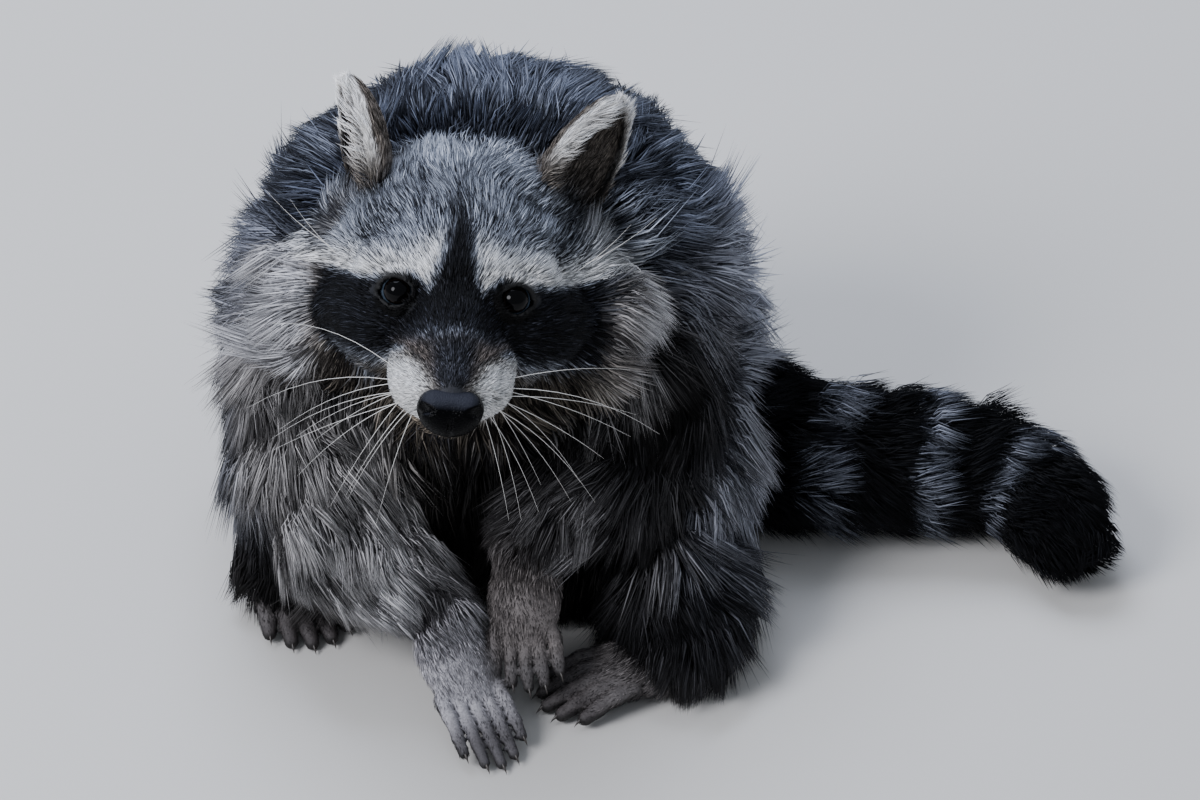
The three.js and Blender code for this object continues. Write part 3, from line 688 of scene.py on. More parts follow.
def markings(p, parts):
    """The dark hairs' colour, the light hairs' colour and the light share, at points of the skin."""
    q = to_head(p)
    (x, y, z), (head_x, head_y, head_z) = p.T, q.T
    aside = np.abs(x - SPINE_X)
    dark = np.tile(colour(0x20232C), (len(p), 1))
    light = np.tile(colour(0x939BAD), (len(p), 1))
    share = 0.26 + 0.22 * (1 - step_up(aside - 20, 35)) * step_up(z - 140, 40)
    share += 0.1 * step_up(x - 50, 30) + 0.08 * step_up(z - 150, 40)

    def paint(where, dark_code, light_code, amount):
        nonlocal dark, light, share
        w = where[:, None]
        dark = dark * (1 - w) + colour(dark_code) * w
        light = light * (1 - w) + colour(light_code) * w
        share = share * (1 - where) + amount * where

    flank = step_up(aside - 45, 40) * (1 - step_up(z - 115, 60))
    paint(flank, 0x303038, 0xBBBDC8, 0.44)
    chest = (1 - step_up(y - 96, 50)) * (1 - step_up(z - 150, 30))
    paint(chest, 0x191513, 0xA79F95, 0.36)
    hindlegs = share_of(parts, ["hindleg_left", "hindleg_right"], 9)
    paint(hindlegs, 0x111114, 0x74757D, 0.18)  # dark in front, paler on the outside, black at the foot
    paint(hindlegs * step_up(aside - 76, 26), 0x1E1F25, 0xAEB3C0, 0.36)
    paint(hindlegs * (1 - step_up(z - 20, 30)), 0x0D0D0F, 0x55565D, 0.15)
    # The light catches silver tips low on its left flank.
    silver = step_up(x - 74, 24) * step_up(z - 34, 30) * (1 - step_up(z - 130, 40))
    paint(silver * 0.9, 0x343741, 0xCFD3E1, 0.6)
    # The right fore leg is grizzled with a pale cuff. The left one, its outer side most, and the insides
    # of both are darker: painted shade.
    forelegs = share_of(parts, ["foreleg_left", "foreleg_right"], 9)
    paint(forelegs, 0x242223, 0xC8C6C6, 0.46)
    foreleg_left = share_of(parts, ["foreleg_left"], 9)
    paint(foreleg_left, 0x121112, 0x8E8C8D, 0.18)
    paint(foreleg_left * step_up(x - 44, 16), 0x080809, 0x424246, 0.1)
    inner = (forelegs - foreleg_left) * step_up(x + 38, 14) * step_up(z - 62, 16)
    paint(np.maximum(inner, 0), 0x0B0A0A, 0x45403C, 0.13)
    cuffs = share_of(parts, ["forepaw_left", "forepaw_right"], 14) * forelegs * 4
    paint(np.minimum(cuffs, 1), 0x3E3C3F, 0xE8E7EA, 0.66)
    # Painted shade under the chin: the middle of the chest darker, less so over the fore legs.
    paint(chest * (1 - step_up(aside - 20, 26)) * (1 - 0.5 * forelegs), 0x080706, 0x3A3430, 0.12)
    # Painted shade: the coat is darkened near the ground, under the body.
    low = (1 - step_up(z - 12, 50)) * step_up(y - 60, 30)
    paint(low * 0.8, 0x0E0C0C, 0x4E4844, 0.2)
    zone = head_zone(q) * share_of(parts, ["trunk", "head", *EARS], 6)
    paint(zone, 0x181B23, 0xC0C7D3, 0.4)
    crown = step_up(head_y - 30, 22) * step_up(head_z - 14, 14) * (1 - step_up(np.abs(head_x) - 26, 18))
    paint(zone * crown, 0x2B2F39, 0xD6DDE9, 0.64)
    # The nape is darker behind the crown: dark fur, and painted shade behind the crown.
    paint(zone * step_up(head_y - 72, 16), 0x1A1D26, 0x848DA3, 0.27)
    for where, dark_code, light_code, amount in face_marks(q):
        paint(zone * where, dark_code, light_code, amount)
    for name, ear in EARS.items():
        here = share_of(parts, [name], 2.5)
        inner = np.array(ear["base"]) * [0.8, 1, 1] + [0, 12, 4]
        beside = np.exp(-((length(q - np.float32(inner)) / 15) ** 2))
        paint(zone * (1 - here) * beside * 0.85, 0x0F1015, 0x4C4F56, 0.12)
        e = to_ear(p, ear)
        front_edge = -np.sign(ear["base"][0]) * e[:, 0] / (EAR_WIDTH / 2)
        edge = ear_edge(e)
        behind = step_up(e[:, 1] - 1, 4)
        at_front = 0.3 * step_up(front_edge, 0.8) * step_up(3 - e[:, 1], 3)
        rim = step_up(edge - 0.8 - 0.12 * behind + at_front, 0.16)
        paint(here, 0x37312D, 0x8A8177, 0.45)
        hollow = step_up(2 - e[:, 1], 3)
        paint(here * hollow, 0x2A2421, 0x8F867B, 0.5)
        # Deep in the hollow the ear is near black: dark skin, and painted shade in the recess.
        deep = step_up(0.7 - front_edge, 0.6) * (1 - step_up(edge - 0.78, 0.17))
        paint(here * hollow * deep, 0x020202, 0x120F0E, 0.08)
        paint(here * rim * step_up(e[:, 2] + 9, 16), 0xB9B4AC, 0xFBF9F5, 0.95)
    along = tail_share(p) * TAIL_LENGTH
    ring = step_up(np.cos((along - RING_AT) / RING_SPACING * 2 * math.pi) - 0.3, 0.5)
    ring = ring * (1 - step_up(along - TAIL_END_AT, 6))
    tail = share_of(parts, ["tail"])
    paint(tail, 0x090A0E, 0x262A32, 0.14)
    paint(tail * ring * step_up(along - 80, 90), 0x22242B, 0x979CA9, 0.52)
    for name, paw in PAWS.items():
        here = share_of(parts, [name], 3)
        knuckles, tips = np.array(paw["knuckles"], float), np.array(paw["tips"], float)
        way = tips - knuckles
        reach = (p - knuckles) @ way / (way @ way)  # 0 at the knuckles, 1 at the tips
        on_digits = step_up(reach - 0.1, 0.6)
        crest = np.full(len(p), -9.0)  # height over the nearest digit's middle line, in its radii
        for joints in digits_of(paw):
            a, b = np.array(joints[0]), np.array(joints[-1])
            t = np.clip((p - a[:3]) @ (b - a)[:3] / ((b - a)[:3] @ (b - a)[:3]), -0.3, 1)[:, None]
            rel = p - a[:3] - t * (b - a)[:3]
            near = length(rel) < a[3] + 2.5
            crest = np.where(near, np.maximum(crest, rel[:, 2] / a[3]), crest)
        # Painted shade between the digits and under the paw, by the floor.
        between = (crest > -8) * (1 - step_up(crest - 0.1, 0.6)) * step_up(reach + 0.4, 0.4)
        on_back, on_tips = PAW_HAIR[name]
        paint(here, *on_back)
        paint(here * on_digits, *on_tips)
        under = step_up(4.5 - z, 3)
        paint(here * np.maximum(between, under) * 0.9, 0x0C0B0B, 0x1E1B1A, 0.3)
    lid = 1 - step_up(length(one_sided(q) - np.float32(EYE)) - EYE_RADIUS - 2.2, 1.2)
    paint(lid, 0x060607, 0x0A0A0B, 0)
    return dark, light, share


skin_parts = flesh(skin_places)
skin_dark, skin_light, skin_share = markings(skin_places, skin_parts)

# ---- Skin: surface ---------------------------------------
# Thin hide, dark where the coat hides it. On the hands, feet and lids it is nearly bare, and shows
# its own short down and fine creases.

UNDER_COAT = 0.7  # the hide under long fur is darker than its hairs
mean = skin_dark + (skin_light - skin_dark) * skin_share[:, None]
bare = share_of(skin_parts, PAWS)[:, None]
skin = mesh_piece("skin", skin_places, skin_faces, mean * (UNDER_COAT + (1 - UNDER_COAT) * bare))


def toned_marks(tree, grain, dark, light, low=0.3, high=0.7):
    """The marks' colour times a tone, which goes from dark to light as the grain goes from low to high."""
    marks = add_node(tree, "ShaderNodeAttribute", attribute_name="markings").outputs["Color"]
    limits = {"From Min": low, "From Max": high, "To Min": dark, "To Max": light}
    tone = add_node(tree, "ShaderNodeMapRange", {"Value": grain, **limits}).outputs[0]
    return add_node(tree, "ShaderNodeVectorMath", {0: marks, 1: tone}, operation="MULTIPLY").outputs[0]


def cells_and_grain(tree, per_metre, depth, grain, strength, distance):
    """A bump of small raised cells, so many to the metre, with a finer grain over them."""
    place = add_node(tree, "ShaderNodeTexCoord").outputs["Object"]
    scaled = {"Vector": place, "Scale": per_metre}
    cells = add_node(tree, "ShaderNodeTexVoronoi", scaled, feature="DISTANCE_TO_EDGE").outputs["Distance"]
    terms = {0: cells, 1: depth, 2: grain}
    height = add_node(tree, "ShaderNodeMath", terms, operation="MULTIPLY_ADD").outputs[0]
    bump = {"Height": height, "Strength": strength, "Distance": distance}
    return add_node(tree, "ShaderNodeBump", bump).outputs[0]


# Living hide with a velvet of short hairs: matt and speckled, finely creased, never glossy.
hide, tree, surface = new_material("thin hide with short down")
place = add_node(tree, "ShaderNodeTexCoord").outputs["Object"]
DOWN_PER_METRE = 1100  # tufts 0.9 mm across, twice as coarse as the real down so that they show
CREASES_PER_METRE = 420  # folds 2.4 mm apart
down = add_node(
    tree,
    "ShaderNodeTexNoise",
    {"Vector": place, "Scale": DOWN_PER_METRE, "Detail": 4, "Roughness": 0.7},
).outputs["Fac"]
speckled = toned_marks(tree, down, 0.6, 1.35)
bump = cells_and_grain(tree, CREASES_PER_METRE, 0.5, down, 0.55, 0.0006)
shader = add_node(
    tree,
    "ShaderNodeBsdfPrincipled",
    {"Base Color": speckled, "Normal": bump, "Roughness": 0.62, "Specular IOR Level": 0.35},
)
tree.links.new(shader.outputs[0], surface)
skin.data.materials.append(hide)
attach(skin, "root")
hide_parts(*(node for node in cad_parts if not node.startswith("eye") and node != "nose"))

# ---- Coat: how it lies -----------------------------------
# Hair grows back from the nose, over the crown and down the sides, out to the digits and to the
# tail's tip. It is shortest on the muzzle and hands, and longest on the ruffs, flanks and tail.

skin_normals = np.empty(len(skin_places) * 3, np.float32)
skin.data.vertices.foreach_get("normal", skin_normals)
skin_normals = skin_normals.reshape(-1, 3)


def towards(a, b):
    return unit(np.array(b, float) - np.array(a, float))


TAIL_WAY = unit(np.gradient(TAIL_LINE, axis=0))  # along the tail at each of its steps


def growth(p):
    """For each part of the body: the way its hair grows, its length, rise and width, at points.
    The rise is the share of its length by which a lock's tip stands off the skin."""
    q = to_head(p)
    back, side, up = q[:, 1], np.abs(q[:, 0]), q[:, 2]
    sideways = np.clip((p[:, 0] - SPINE_X) / 90, -1, 1)
    chest = 1 - step_up(p[:, 1] - 92, 46)
    one = np.ones(len(p))
    fall = np.stack([0.3 * sideways, 0.7 - 0.6 * chest, -0.5 - 0.5 * chest], 1)
    flat = step_up(p[:, 2] - 120, 60)
    # On the head: away from the nose, then from between the eyes, and outwards on the cheeks.
    from_nose = unit(q - [0, -62, -20]) + unit(q - [0, -6, 16]) * step_up(back + 10, 20)[:, None] * 0.6
    cheek = step_up(side - 34, 20) * step_up(16 - up, 20)
    from_nose += cheek[:, None] * (np.sign(q[:, :1]) * [0.8, 0, 0] - [0, 0, 0.45])
    ruff = step_up(side - 42, 16) * (1 - step_up(up - 16, 14)) * step_up(back - 2, 18)
    throat = step_up(-30 - up, 10) * step_up(back + 30, 20)
    crown = step_up(back - 18, 26) * step_up(up - 8, 20)
    head_long = np.interp(back, [-62, -44, -14, 4, 22, 50, 90], [2.6, 4.6, 6.5, 9, 12.5, 16, 22])
    by_eye = length(one_sided(q) - np.float32(EYE)) - EYE_RADIUS
    head_long = head_long * (1 - 0.45 * np.exp(-((by_eye / 5) ** 2)))  # shorter round the eyes
    head_long = head_long + 12 * ruff + 13 * throat
    down_tail = tail_share(p)
    tail_way = TAIL_WAY[np.round(down_tail * TAIL_STEPS).astype(int)]
    table = {
        "trunk": (fall, 40 - 10 * flat, 0.44 - 0.12 * flat, 0.96 * one),
        "head": (
            from_nose @ HEAD_TURN.T,
            head_long,
            np.interp(head_long, [3, 8, 16, 30], [0.36, 0.36, 0.42, 0.5]) + 0.16 * crown,
            np.interp(head_long, [2, 5, 11, 24], [0.44, 0.5, 0.62, 0.92]),
        ),
        "tail": (tail_way, 31 - 14 * down_tail**2, 0.58 * one, 0.94 * one),
    }
    for name, joints in LEGS.items():
        along = (p - joints[0][:3]) @ towards(joints[0][:3], joints[2][:3])
        share = np.clip(along / math.dist(joints[0][:3], joints[2][:3]), 0, 1)
        if name.startswith("fore"):
            way = np.tile(towards(joints[1][:3], joints[2][:3]), (len(p), 1))
            way = way + np.stack([0.35 * sideways, 0 * one, -0.35 * one], 1)
            table[name] = (way, 31 - 9 * share**2, 0.44 * one, 0.94 - 0.12 * share)
        else:
            way = np.stack([0.3 * sideways, 0.2 - 0.5 * share, -one], 1)
            table[name] = (way, 36 - 6 * share, 0.38 + 0.04 * share, 0.96 * one)
    for name, paw in PAWS.items():
        way = towards(paw["from"], paw["tips"])
        start = np.array(paw["from"], float)
        share = np.clip((p - start) @ way / math.dist(paw["from"], paw["tips"]), 0, 1)
        cuff = 15 if name == "forepaw_right" else 9  # the hair's length at the wrist or heel
        hair = np.interp(share, [0, 0.16, 0.34, 0.7, 1], [cuff, cuff * 0.6, 3.6, 2.6, 1.6])
        width = np.interp(hair, [2, 9], [0.34, 0.8])
        table[name] = (np.tile(way, (len(p), 1)), hair, 0.28 + hair / 70, width)
    for name, ear in EARS.items():
        way = np.tile(HEAD_TURN @ ear["matrix"] @ [0, 0, 1], (len(p), 1))
        e = to_ear(p, ear)
        rim = step_up(ear_edge(e) - 0.7, 0.2)
        inward = -np.sign(ear["base"][0])
        fringe = rim * step_up(inward * e[:, 0] - 5, 7) * step_up(2 - e[:, 1], 3)
        across = HEAD_TURN @ ear["matrix"] @ [-inward, -0.5, 0]
        way = way + 1.6 * fringe[:, None] * across
        table[name] = (way, 4.5 + 2.5 * rim + 6 * fringe, 0.2 + 0.1 * rim + 0.2 * fringe, 0.45 * one)
    return table


def comb(p, normals, parts):
    """The lie, length, rise and width of the hair at points of the skin, blended between parts."""
    weight = nearness(parts)
    total = sum(weight.values())
    of_head = weight["trunk"] * head_zone(to_head(p))
    weight["head"] = weight["head"] + of_head
    weight["trunk"] = weight["trunk"] - of_head
    lie, long, rise, wide = np.zeros((len(p), 3)), 0, 0, 0
    for name, (way, hair, lift, width) in growth(p).items():
        w = weight[name] / total
        lie += unit(way) * w[:, None]
        long, rise, wide = long + hair * w, rise + lift * w, wide + width * w
    lie -= normals * np.einsum("ij,ij->i", lie, normals)[:, None]
    return unit(lie), long, rise, wide


# ---- Coat: the locks -------------------------------------
# Each lock is a few hairs that cling together: a closed three-sided sliver that starts in the skin,
# rises, and bends to lie along the body. Neighbouring locks lean together into larger ones.

rng = np.random.default_rng(11)
PATCH = 0.003  # the share of its map that a lock takes
MARGIN = 0.001  # left free at the map's edges
MOST_LOCKS = 33000  # in one piece, at six triangles each
CURLS = ((21, 1, 0.95), (9, 4, 0.6))  # patches of locks that bend alike: size, seed, how much
CLUMPS = ((90, 22, 0.6), (12, 12, 1.0))  # locks to a leader, its reach, its share of the cling
FLATNESS = 0.55  # a lock's thickness as a share of its width
MARKS_AT = 0.45  # how far along a lock its marks are read, as a share of its length


def patchy(p, size, seed):
    """Smooth noise about zero over points, with patches of some size in millimetres."""
    offset = Vector((seed * 17.3, seed * 5.1, seed * 9.7))
    return np.array([noise.noise(Vector(point) / size + offset) for point in p.tolist()])


# The axis that each part's map is rolled round, from end to end; the tail's is its own curve.
AXES = {
    "trunk": ((4, 78, 80), (4, 268, 110)),
    "head": (from_head(np.array([0, -64, -26])), from_head(np.array([0, 100, -6]))),
}
AXES.update({name: (joints[0][:3], joints[2][:3]) for name, joints in LEGS.items()})
AXES.update({name: (paw["from"], paw["tips"]) for name, paw in PAWS.items()})
for name, ear in EARS.items():
    tip = ear["matrix"] @ [0, 0, EAR_HEIGHT / 2]
    AXES[name] = (from_head(ear["centre"] - tip), from_head(ear["centre"] + tip))


def unwrap(p, name):
    """Where points of a part fall on its skin, unrolled round the part's own axis: 0 to 1 each way."""
    if name == "tail":
        near = np.round(tail_share(p) * TAIL_STEPS).astype(int)
        out = p - TAIL_LINE[near]
        across = out @ np.array([0.4, 0.9, 0])
        return np.stack([np.arctan2(out[:, 2], across) / (2 * math.pi) + 0.5, tail_share(p)], 1)
    start, end = (np.array(point, float) for point in AXES[name])
    axis = towards(start, end)
    first = unit(np.cross(axis, [0.3, 0.1, 1]))
    second = np.cross(axis, first)
    out = p - start
    turn = np.arctan2(out @ second, out @ first) / (2 * math.pi) + 0.5
    return np.stack([turn, np.clip(out @ axis / math.dist(start, end), 0, 1)], 1)


def gather(spine, roots, ratio, reach, cling):
    """Locks lean to the tip of a leader near them, one in so many."""
    leads = rng.choice(len(roots), max(1, len(roots) // ratio), replace=False)
    tree = kdtree.KDTree(len(leads))
    for i, lead in enumerate(leads):
        tree.insert(roots[lead], i)
    tree.balance()
    lead = leads[[tree.find(root)[1] for root in roots]]
    pull = spine[lead, -1] - spine[:, -1]
    pull *= (np.linalg.norm(pull, axis=1) < reach)[:, None]
    t = np.linspace(0, 1, spine.shape[1])
    spine += pull[:, None] * (t**2)[None, :, None] * cling


def grow(roots, normals, lie, long, rise, wide, ring_at, cling):
    """Each lock's root, middle and tip, and the three corners of the ring round its middle."""
    side = np.cross(lie, normals)
    curl = sum(much * patchy(roots, size, seed) for size, seed, much in CURLS)
    sway = rng.normal(0, 0.1, len(roots)) + curl * np.clip((long - 4) / 20, 0.1, 1)
    t = np.array([0, ring_at, 1])
    rising = (1.85 * t - t**2)[None, :, None] * (rise * long)[:, None, None] * normals[:, None]
    along = t[None, :, None] * (long * np.sqrt(1 - rise**2))[:, None, None] * lie[:, None]
    aside = (t**1.5)[None, :, None] * (sway * long)[:, None, None] * side[:, None]
    sunk = (0.25 + 0.02 * long)[:, None] * normals
    spine = roots[:, None] - sunk[:, None] + along + rising + aside
    spine[..., 2] -= (t**2)[None] * (0.07 * long * step_up(long - 12, 20))[:, None]
    for ratio, reach, hold in CLUMPS:
        gather(spine, roots, ratio, reach, cling * hold)
    spine[..., 2] = np.maximum(spine[..., 2], 0.6)
    thickness = np.interp(ring_at, [0, 0.3, 0.7, 1], [0.7, 1, 0.62, 0])
    roll = rng.uniform(-0.5, 0.5, len(roots))
    corners = []
    for k in range(3):
        angle = roll + math.pi / 2 + k * 2 * math.pi / 3
        corners.append(side * np.cos(angle)[:, None] + FLATNESS * normals * np.sin(angle)[:, None])
    out = np.stack(corners, 1) * thickness * (wide / 2)[:, None, None]
    return spine, spine[:, 1, None] + out


def lock_faces(ring_at):
    """The six triangles of one lock and where their corners fall on its patch, both from 0."""
    faces, spots = [], []
    for c in range(3):
        a, b = 1 + c, 1 + (c + 1) % 3
        left, right = (c / 3, ring_at), ((c + 1) / 3, ring_at)
        middle = (c / 3 + (c + 1) / 3) / 2
        faces += [(0, b, a), (a, b, 4)]
        spots += [((middle, 0), right, left), (left, right, (middle, 1))]
    return np.array(faces), np.array(spots) * PATCH


def coat_piece(name, spine, corners, bands_and_root_shade, spots, ring_at, material, slot):
    """One mesh of locks, with their colours and their patches."""
    faces, patch = lock_faces(ring_at)
    places = np.concatenate([spine[:, :1], corners, spine[:, 2:]], 1)
    colours = bands_and_root_shade[:, [0, 1, 1, 1, 2]]
    all_faces = (faces + 5 * np.arange(len(spine))[:, None, None]).reshape(-1, 3)
    piece = mesh_piece(name, places.reshape(-1, 3), all_faces, colours.reshape(-1, 3))
    layer = piece.data.uv_layers.new(name="OFBake")
    on_map = MARGIN + spots[:, None, None] * (1 - PATCH - 2 * MARGIN) + patch[None]
    layer.data.foreach_set("uv", on_map.astype(np.float32).ravel())
    piece.data.materials.append(material)
    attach(piece, "root")
    return piece


def fur_material(name, strands, roughness, gloss):
    """Hair: streaks run along each lock, by its own map. There are so many strands round a lock, each
    as coarse as a few hairs, as one hair of 0.05 mm is too fine to show."""
    material, tree, surface = new_material(name)
    own_map = add_node(tree, "ShaderNodeUVMap", uv_map="OFBake").outputs[0]
    stretched = add_node(
        tree, "ShaderNodeMapping", {"Vector": own_map, "Scale": (strands / PATCH, 0.8 / PATCH, 1)}
    ).outputs[0]
    streak = add_node(
        tree, "ShaderNodeTexNoise", {"Vector": stretched, "Scale": 1.0, "Detail": 2}
    ).outputs["Fac"]
    hair = toned_marks(tree, streak, 0.62, 1.38)
    shader = add_node(
        tree,
        "ShaderNodeBsdfPrincipled",
        {"Base Color": hair, "Roughness": roughness, "Specular IOR Level": gloss},
    )
    tree.links.new(shader.outputs[0], surface)
    return material


# Long outer hair, dark at the root, by its banding and by painted shade deep in the coat, and paler
# at the tip: dry and soft, each lock streaked along.
guard_hair = fur_material("long guard hair, banded", 5, 0.7, 0.16)
# Plush of the face, ears and paws: fewer streaks to a lock, and a little more light off its tips.
short_hair = fur_material("short dense hair", 3, 0.7, 0.18)

# The coat of each group of parts: how many locks, how far along one is thickest, as a share of its
# length, how far they cling together, and their finish.
COAT = {
    "trunk": (["trunk"], 58000, 0.42, 0.55, guard_hair, "grey_fur"),
    "legs": (list(LEGS), 44000, 0.42, 0.55, guard_hair, "grey_fur"),
    "tail": (["tail"], 25000, 0.42, 0.35, guard_hair, "ringed_fur"),
    "head": (["head"], 84000, 0.45, 0.2, short_hair, "face_fur"),
    "ears": (list(EARS), 11000, 0.45, 0.25, short_hair, "face_fur"),
    "feet": (list(PAWS), 19000, 0.45, 0.15, short_hair, "paw_skin"),
}

# Hair grows from every part of the skin but the lids' rims, round the nose and the soles.
triangles = np.vstack([skin_faces[:, [0, 1, 2]], skin_faces[:, [0, 2, 3]]])
corner_places = skin_places[triangles]
first, second, third = np.moveaxis(corner_places, 1, 0)
areas = length(np.cross(second - first, third - first)) / 2
part_names = list(skin_parts)
owner = np.array([skin_parts[name] for name in part_names]).argmin(0)[triangles[:, 0]]
middles = corner_places.mean(1)
head_middles = to_head(middles)
folded = one_sided(head_middles)
clear = (eye_opening(folded) > 1.2) & (length(folded - np.float32(EYE)) > EYE_RADIUS + 0.9)
clear &= ball(head_middles, NOSE_AT - [0, 0, 1], [12.5, 8.6, 9]) > 0.3
clear &= middles[:, 2] > 2.5
on_face = (1 - step_up(head_middles[:, 1] - 26, 30)) * step_up(head_middles[:, 2] + 62, 20)
for group, (names, count, ring_at, cling, material, slot) in COAT.items():
    members = [part_names.index(name) for name in names]
    weight = areas * np.isin(owner, members) * clear
    if group == "head":
        weight *= 0.5 + 2.2 * on_face  # hair stands thickest on the face
    # Roots are spread evenly over the skin's triangles by their area.
    heap = np.cumsum(weight)
    picks = (np.arange(count) + rng.random(count)) / count * heap[-1] * 0.999999
    chosen = np.searchsorted(heap, picks, side="right")
    shares = rng.dirichlet((1, 1, 1), count)
    roots = np.einsum("ij,ijk->ik", shares, skin_places[triangles[chosen]])
    normals = unit(np.einsum("ij,ijk->ik", shares, skin_normals[triangles[chosen]]))
    parts = flesh(roots.astype(np.float32))
    lie, long, rise, wide = comb(roots, normals, parts)
    # No two locks are alike, and those of one patch stand longer, higher or paler together.
    broad_patch, fine_patch = patchy(roots, 15, 2), patchy(roots, 6, 3)
    read_at = (roots + lie * (MARKS_AT * long)[:, None]).astype(np.float32)
    dark, light, share = markings(read_at, parts)
    long = long * rng.uniform(0.72, 1.2, count) * (1 + 0.3 * broad_patch)
    rise = np.clip(rise * rng.uniform(0.7, 1.25, count) * (1 + 0.35 * broad_patch), 0.05, 0.8)
    wide = wide * rng.uniform(0.7, 1.25, count)
    spine, corners = grow(roots, normals, lie, long, rise, wide, ring_at, cling)
    # A lock is dark or light, seldom between, and more are light where the marks say so.
    varied = 4 * share * (1 - share)
    coarse = np.minimum(long / 20, 1)
    wander = coarse * (0.3 * broad_patch + 0.3 * fine_patch)
    wander = wander + rng.normal(0, 0.36 - 0.18 * coarse, count)
    amount = step_up(share + varied * wander - 0.12, 0.76)[:, None]
    hair = dark + (light - dark) * amount
    brightness = (1 + (0.3 - 0.2 * coarse) * rng.normal(0, 1, count)).clip(0.3, 1.4)
    hair = np.minimum(hair * brightness[:, None], 1)
    # Each is darker at its root, by its own banding and by painted shade deep in the coat, and paler at
    # its tip.
    steps = np.array([0, ring_at, 1])[None, :, None] ** 0.8
    at_root, at_tip = 0.5 * hair + 0.1 * dark, hair * (0.9 + 0.35 * amount)
    bands_and_root_shade = at_root[:, None] * (1 - steps) + at_tip[:, None] * steps
    # On the map the parts of a group lie side by side.
    spots = np.empty((count, 2))
    kind = owner[chosen]
    for place_in_row, member in enumerate(members):
        here = kind == member
        on_part = unwrap(roots[here], part_names[member])
        spots[here] = (on_part + [place_in_row, 0]) / [len(members), 1]
    pieces_needed = math.ceil(count / MOST_LOCKS)
    order = np.argsort(roots[:, 1], kind="stable")
    for i, some in enumerate(np.array_split(order, pieces_needed)):
        name = f"coat_{group}_{i + 1}" if pieces_needed > 1 else f"coat_{group}"
        locks = (spine[some], corners[some], bands_and_root_shade[some], spots[some])
        coat_piece(name, *locks, ring_at, material, slot)

# ---- Eyes ------------------------------------------------
# Dark wet eyeballs, each a ball with a bulge in front, a black pupil, a brown iris and a thin dark
# rim of white. They sit in their sockets behind the lids, and are made ring by ring from the pupil.

RINGS, AROUND = 60, 64
PUPIL, IRIS = 0.62, 0.86  # radians from the middle of the pupil
CORNEA_HEIGHT = 0.5
CORNEA_TOP, CORNEA_SLOPE = 0.1, 0.85  # radians: how far it is flat, and over how much it falls away
FIBRES = 60  # in half of the iris, about 0.3 mm apart at its rim
# A wet clear cornea over near black: small sharp highlights, and fibres in the iris from close by.
eye_matter, tree, surface = new_material("wet eye under clear cornea")
round_map = add_node(tree, "ShaderNodeUVMap", uv_map="round the pupil").outputs[0]
stretched = add_node(tree, "ShaderNodeMapping", {"Vector": round_map, "Scale": (FIBRES, 3, 1)}).outputs[0]
fibres = add_node(tree, "ShaderNodeTexNoise", {"Vector": stretched, "Scale": 1.0}).outputs["Fac"]
fibred = toned_marks(tree, fibres, 0.3, 1.7, 0, 1)
shader = add_node(
    tree,
    "ShaderNodeBsdfPrincipled",
    {"Base Color": fibred, "Roughness": 0.06, "IOR": 1.36, "Specular IOR Level": 0.2},
)
tree.links.new(shader.outputs[0], surface)
for side, node in ((1, "eye_left"), (-1, "eye_right")):
    # The ball looks a little higher and farther inwards than the opening between its lids.
    gaze = unit(GAZE + 0.07 * EYE_UP - [0.1, 0, 0]) * [side, 1, 1]
    first = unit(np.cross(gaze, [0, 0, 1]))
    second = np.cross(gaze, first)
    polar = np.linspace(0, math.pi, RINGS + 1)[1:-1]
    azimuth = np.arange(AROUND) / AROUND * 2 * math.pi
    radius = EYE_RADIUS + CORNEA_HEIGHT * (1 - step_up(polar - CORNEA_TOP, CORNEA_SLOPE))
    ring = np.cos(azimuth)[:, None] * first + np.sin(azimuth)[:, None] * second
    places = (
        np.cos(polar)[:, None, None] * gaze + np.sin(polar)[:, None, None] * ring[None]
    ) * radius[:, None, None]
    places = np.vstack([gaze * (EYE_RADIUS + CORNEA_HEIGHT), places.reshape(-1, 3), -gaze * EYE_RADIUS])
    places = from_head(places + EYE * [side, 1, 1])
    angle = np.concatenate([[0], polar.repeat(AROUND), [math.pi]])
    white = step_up(angle - IRIS, 0.1)[:, None]
    brown = (step_up(angle - PUPIL, 0.05) * (1 - step_up(angle - IRIS + 0.16, 0.14)))[:, None]
    tint = colour(0x020203) * (1 - brown) + colour(0x100A07) * brown
    tint = tint * (1 - white) + colour(0x3A444F) * white
    number = 1 + np.arange(AROUND * (RINGS - 1)).reshape(RINGS - 1, AROUND)
    quads = np.stack([number[:-1], number[1:], np.roll(number[1:], -1, 1), np.roll(number[:-1], -1, 1)], -1)
    faces = [tuple(q) for q in quads.reshape(-1, 4)]
    faces += [(0, number[0, i], number[0, (i + 1) % AROUND]) for i in range(AROUND)]
    last = len(places) - 1
    faces += [(last, number[-1, (i + 1) % AROUND], number[-1, i]) for i in range(AROUND)]
    mesh = bpy.data.meshes.new(f"{node}_ball")
    mesh.from_pydata(to_world(places).tolist(), [], [tuple(map(int, f)) for f in faces])
    mesh.polygons.foreach_set("use_smooth", np.ones(len(faces), bool))
    write_marks(mesh, tint)
    corner_of = np.empty(len(mesh.loops), np.int32)
    mesh.loops.foreach_get("vertex_index", corner_of)
    turn = np.concatenate([[0.5], np.tile(azimuth, RINGS - 1) / (2 * math.pi), [0.5]])
    round_uv = np.stack([np.abs(turn * 2 - 1), angle / math.pi], 1)[corner_of]
    mesh.uv_layers.new(name="round the pupil").data.foreach_set("uv", round_uv.astype(np.float32).ravel())
    mesh.materials.append(eye_matter)
    eyeball = show(f"{node}_ball", mesh)
    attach(eyeball, "root")
    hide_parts(node)

# ---- Nose ------------------------------------------------
# The bare leather of the nose: pebbled on top, smooth and wet below, with comma-shaped nostrils that
# open to the sides and a groove down its middle.


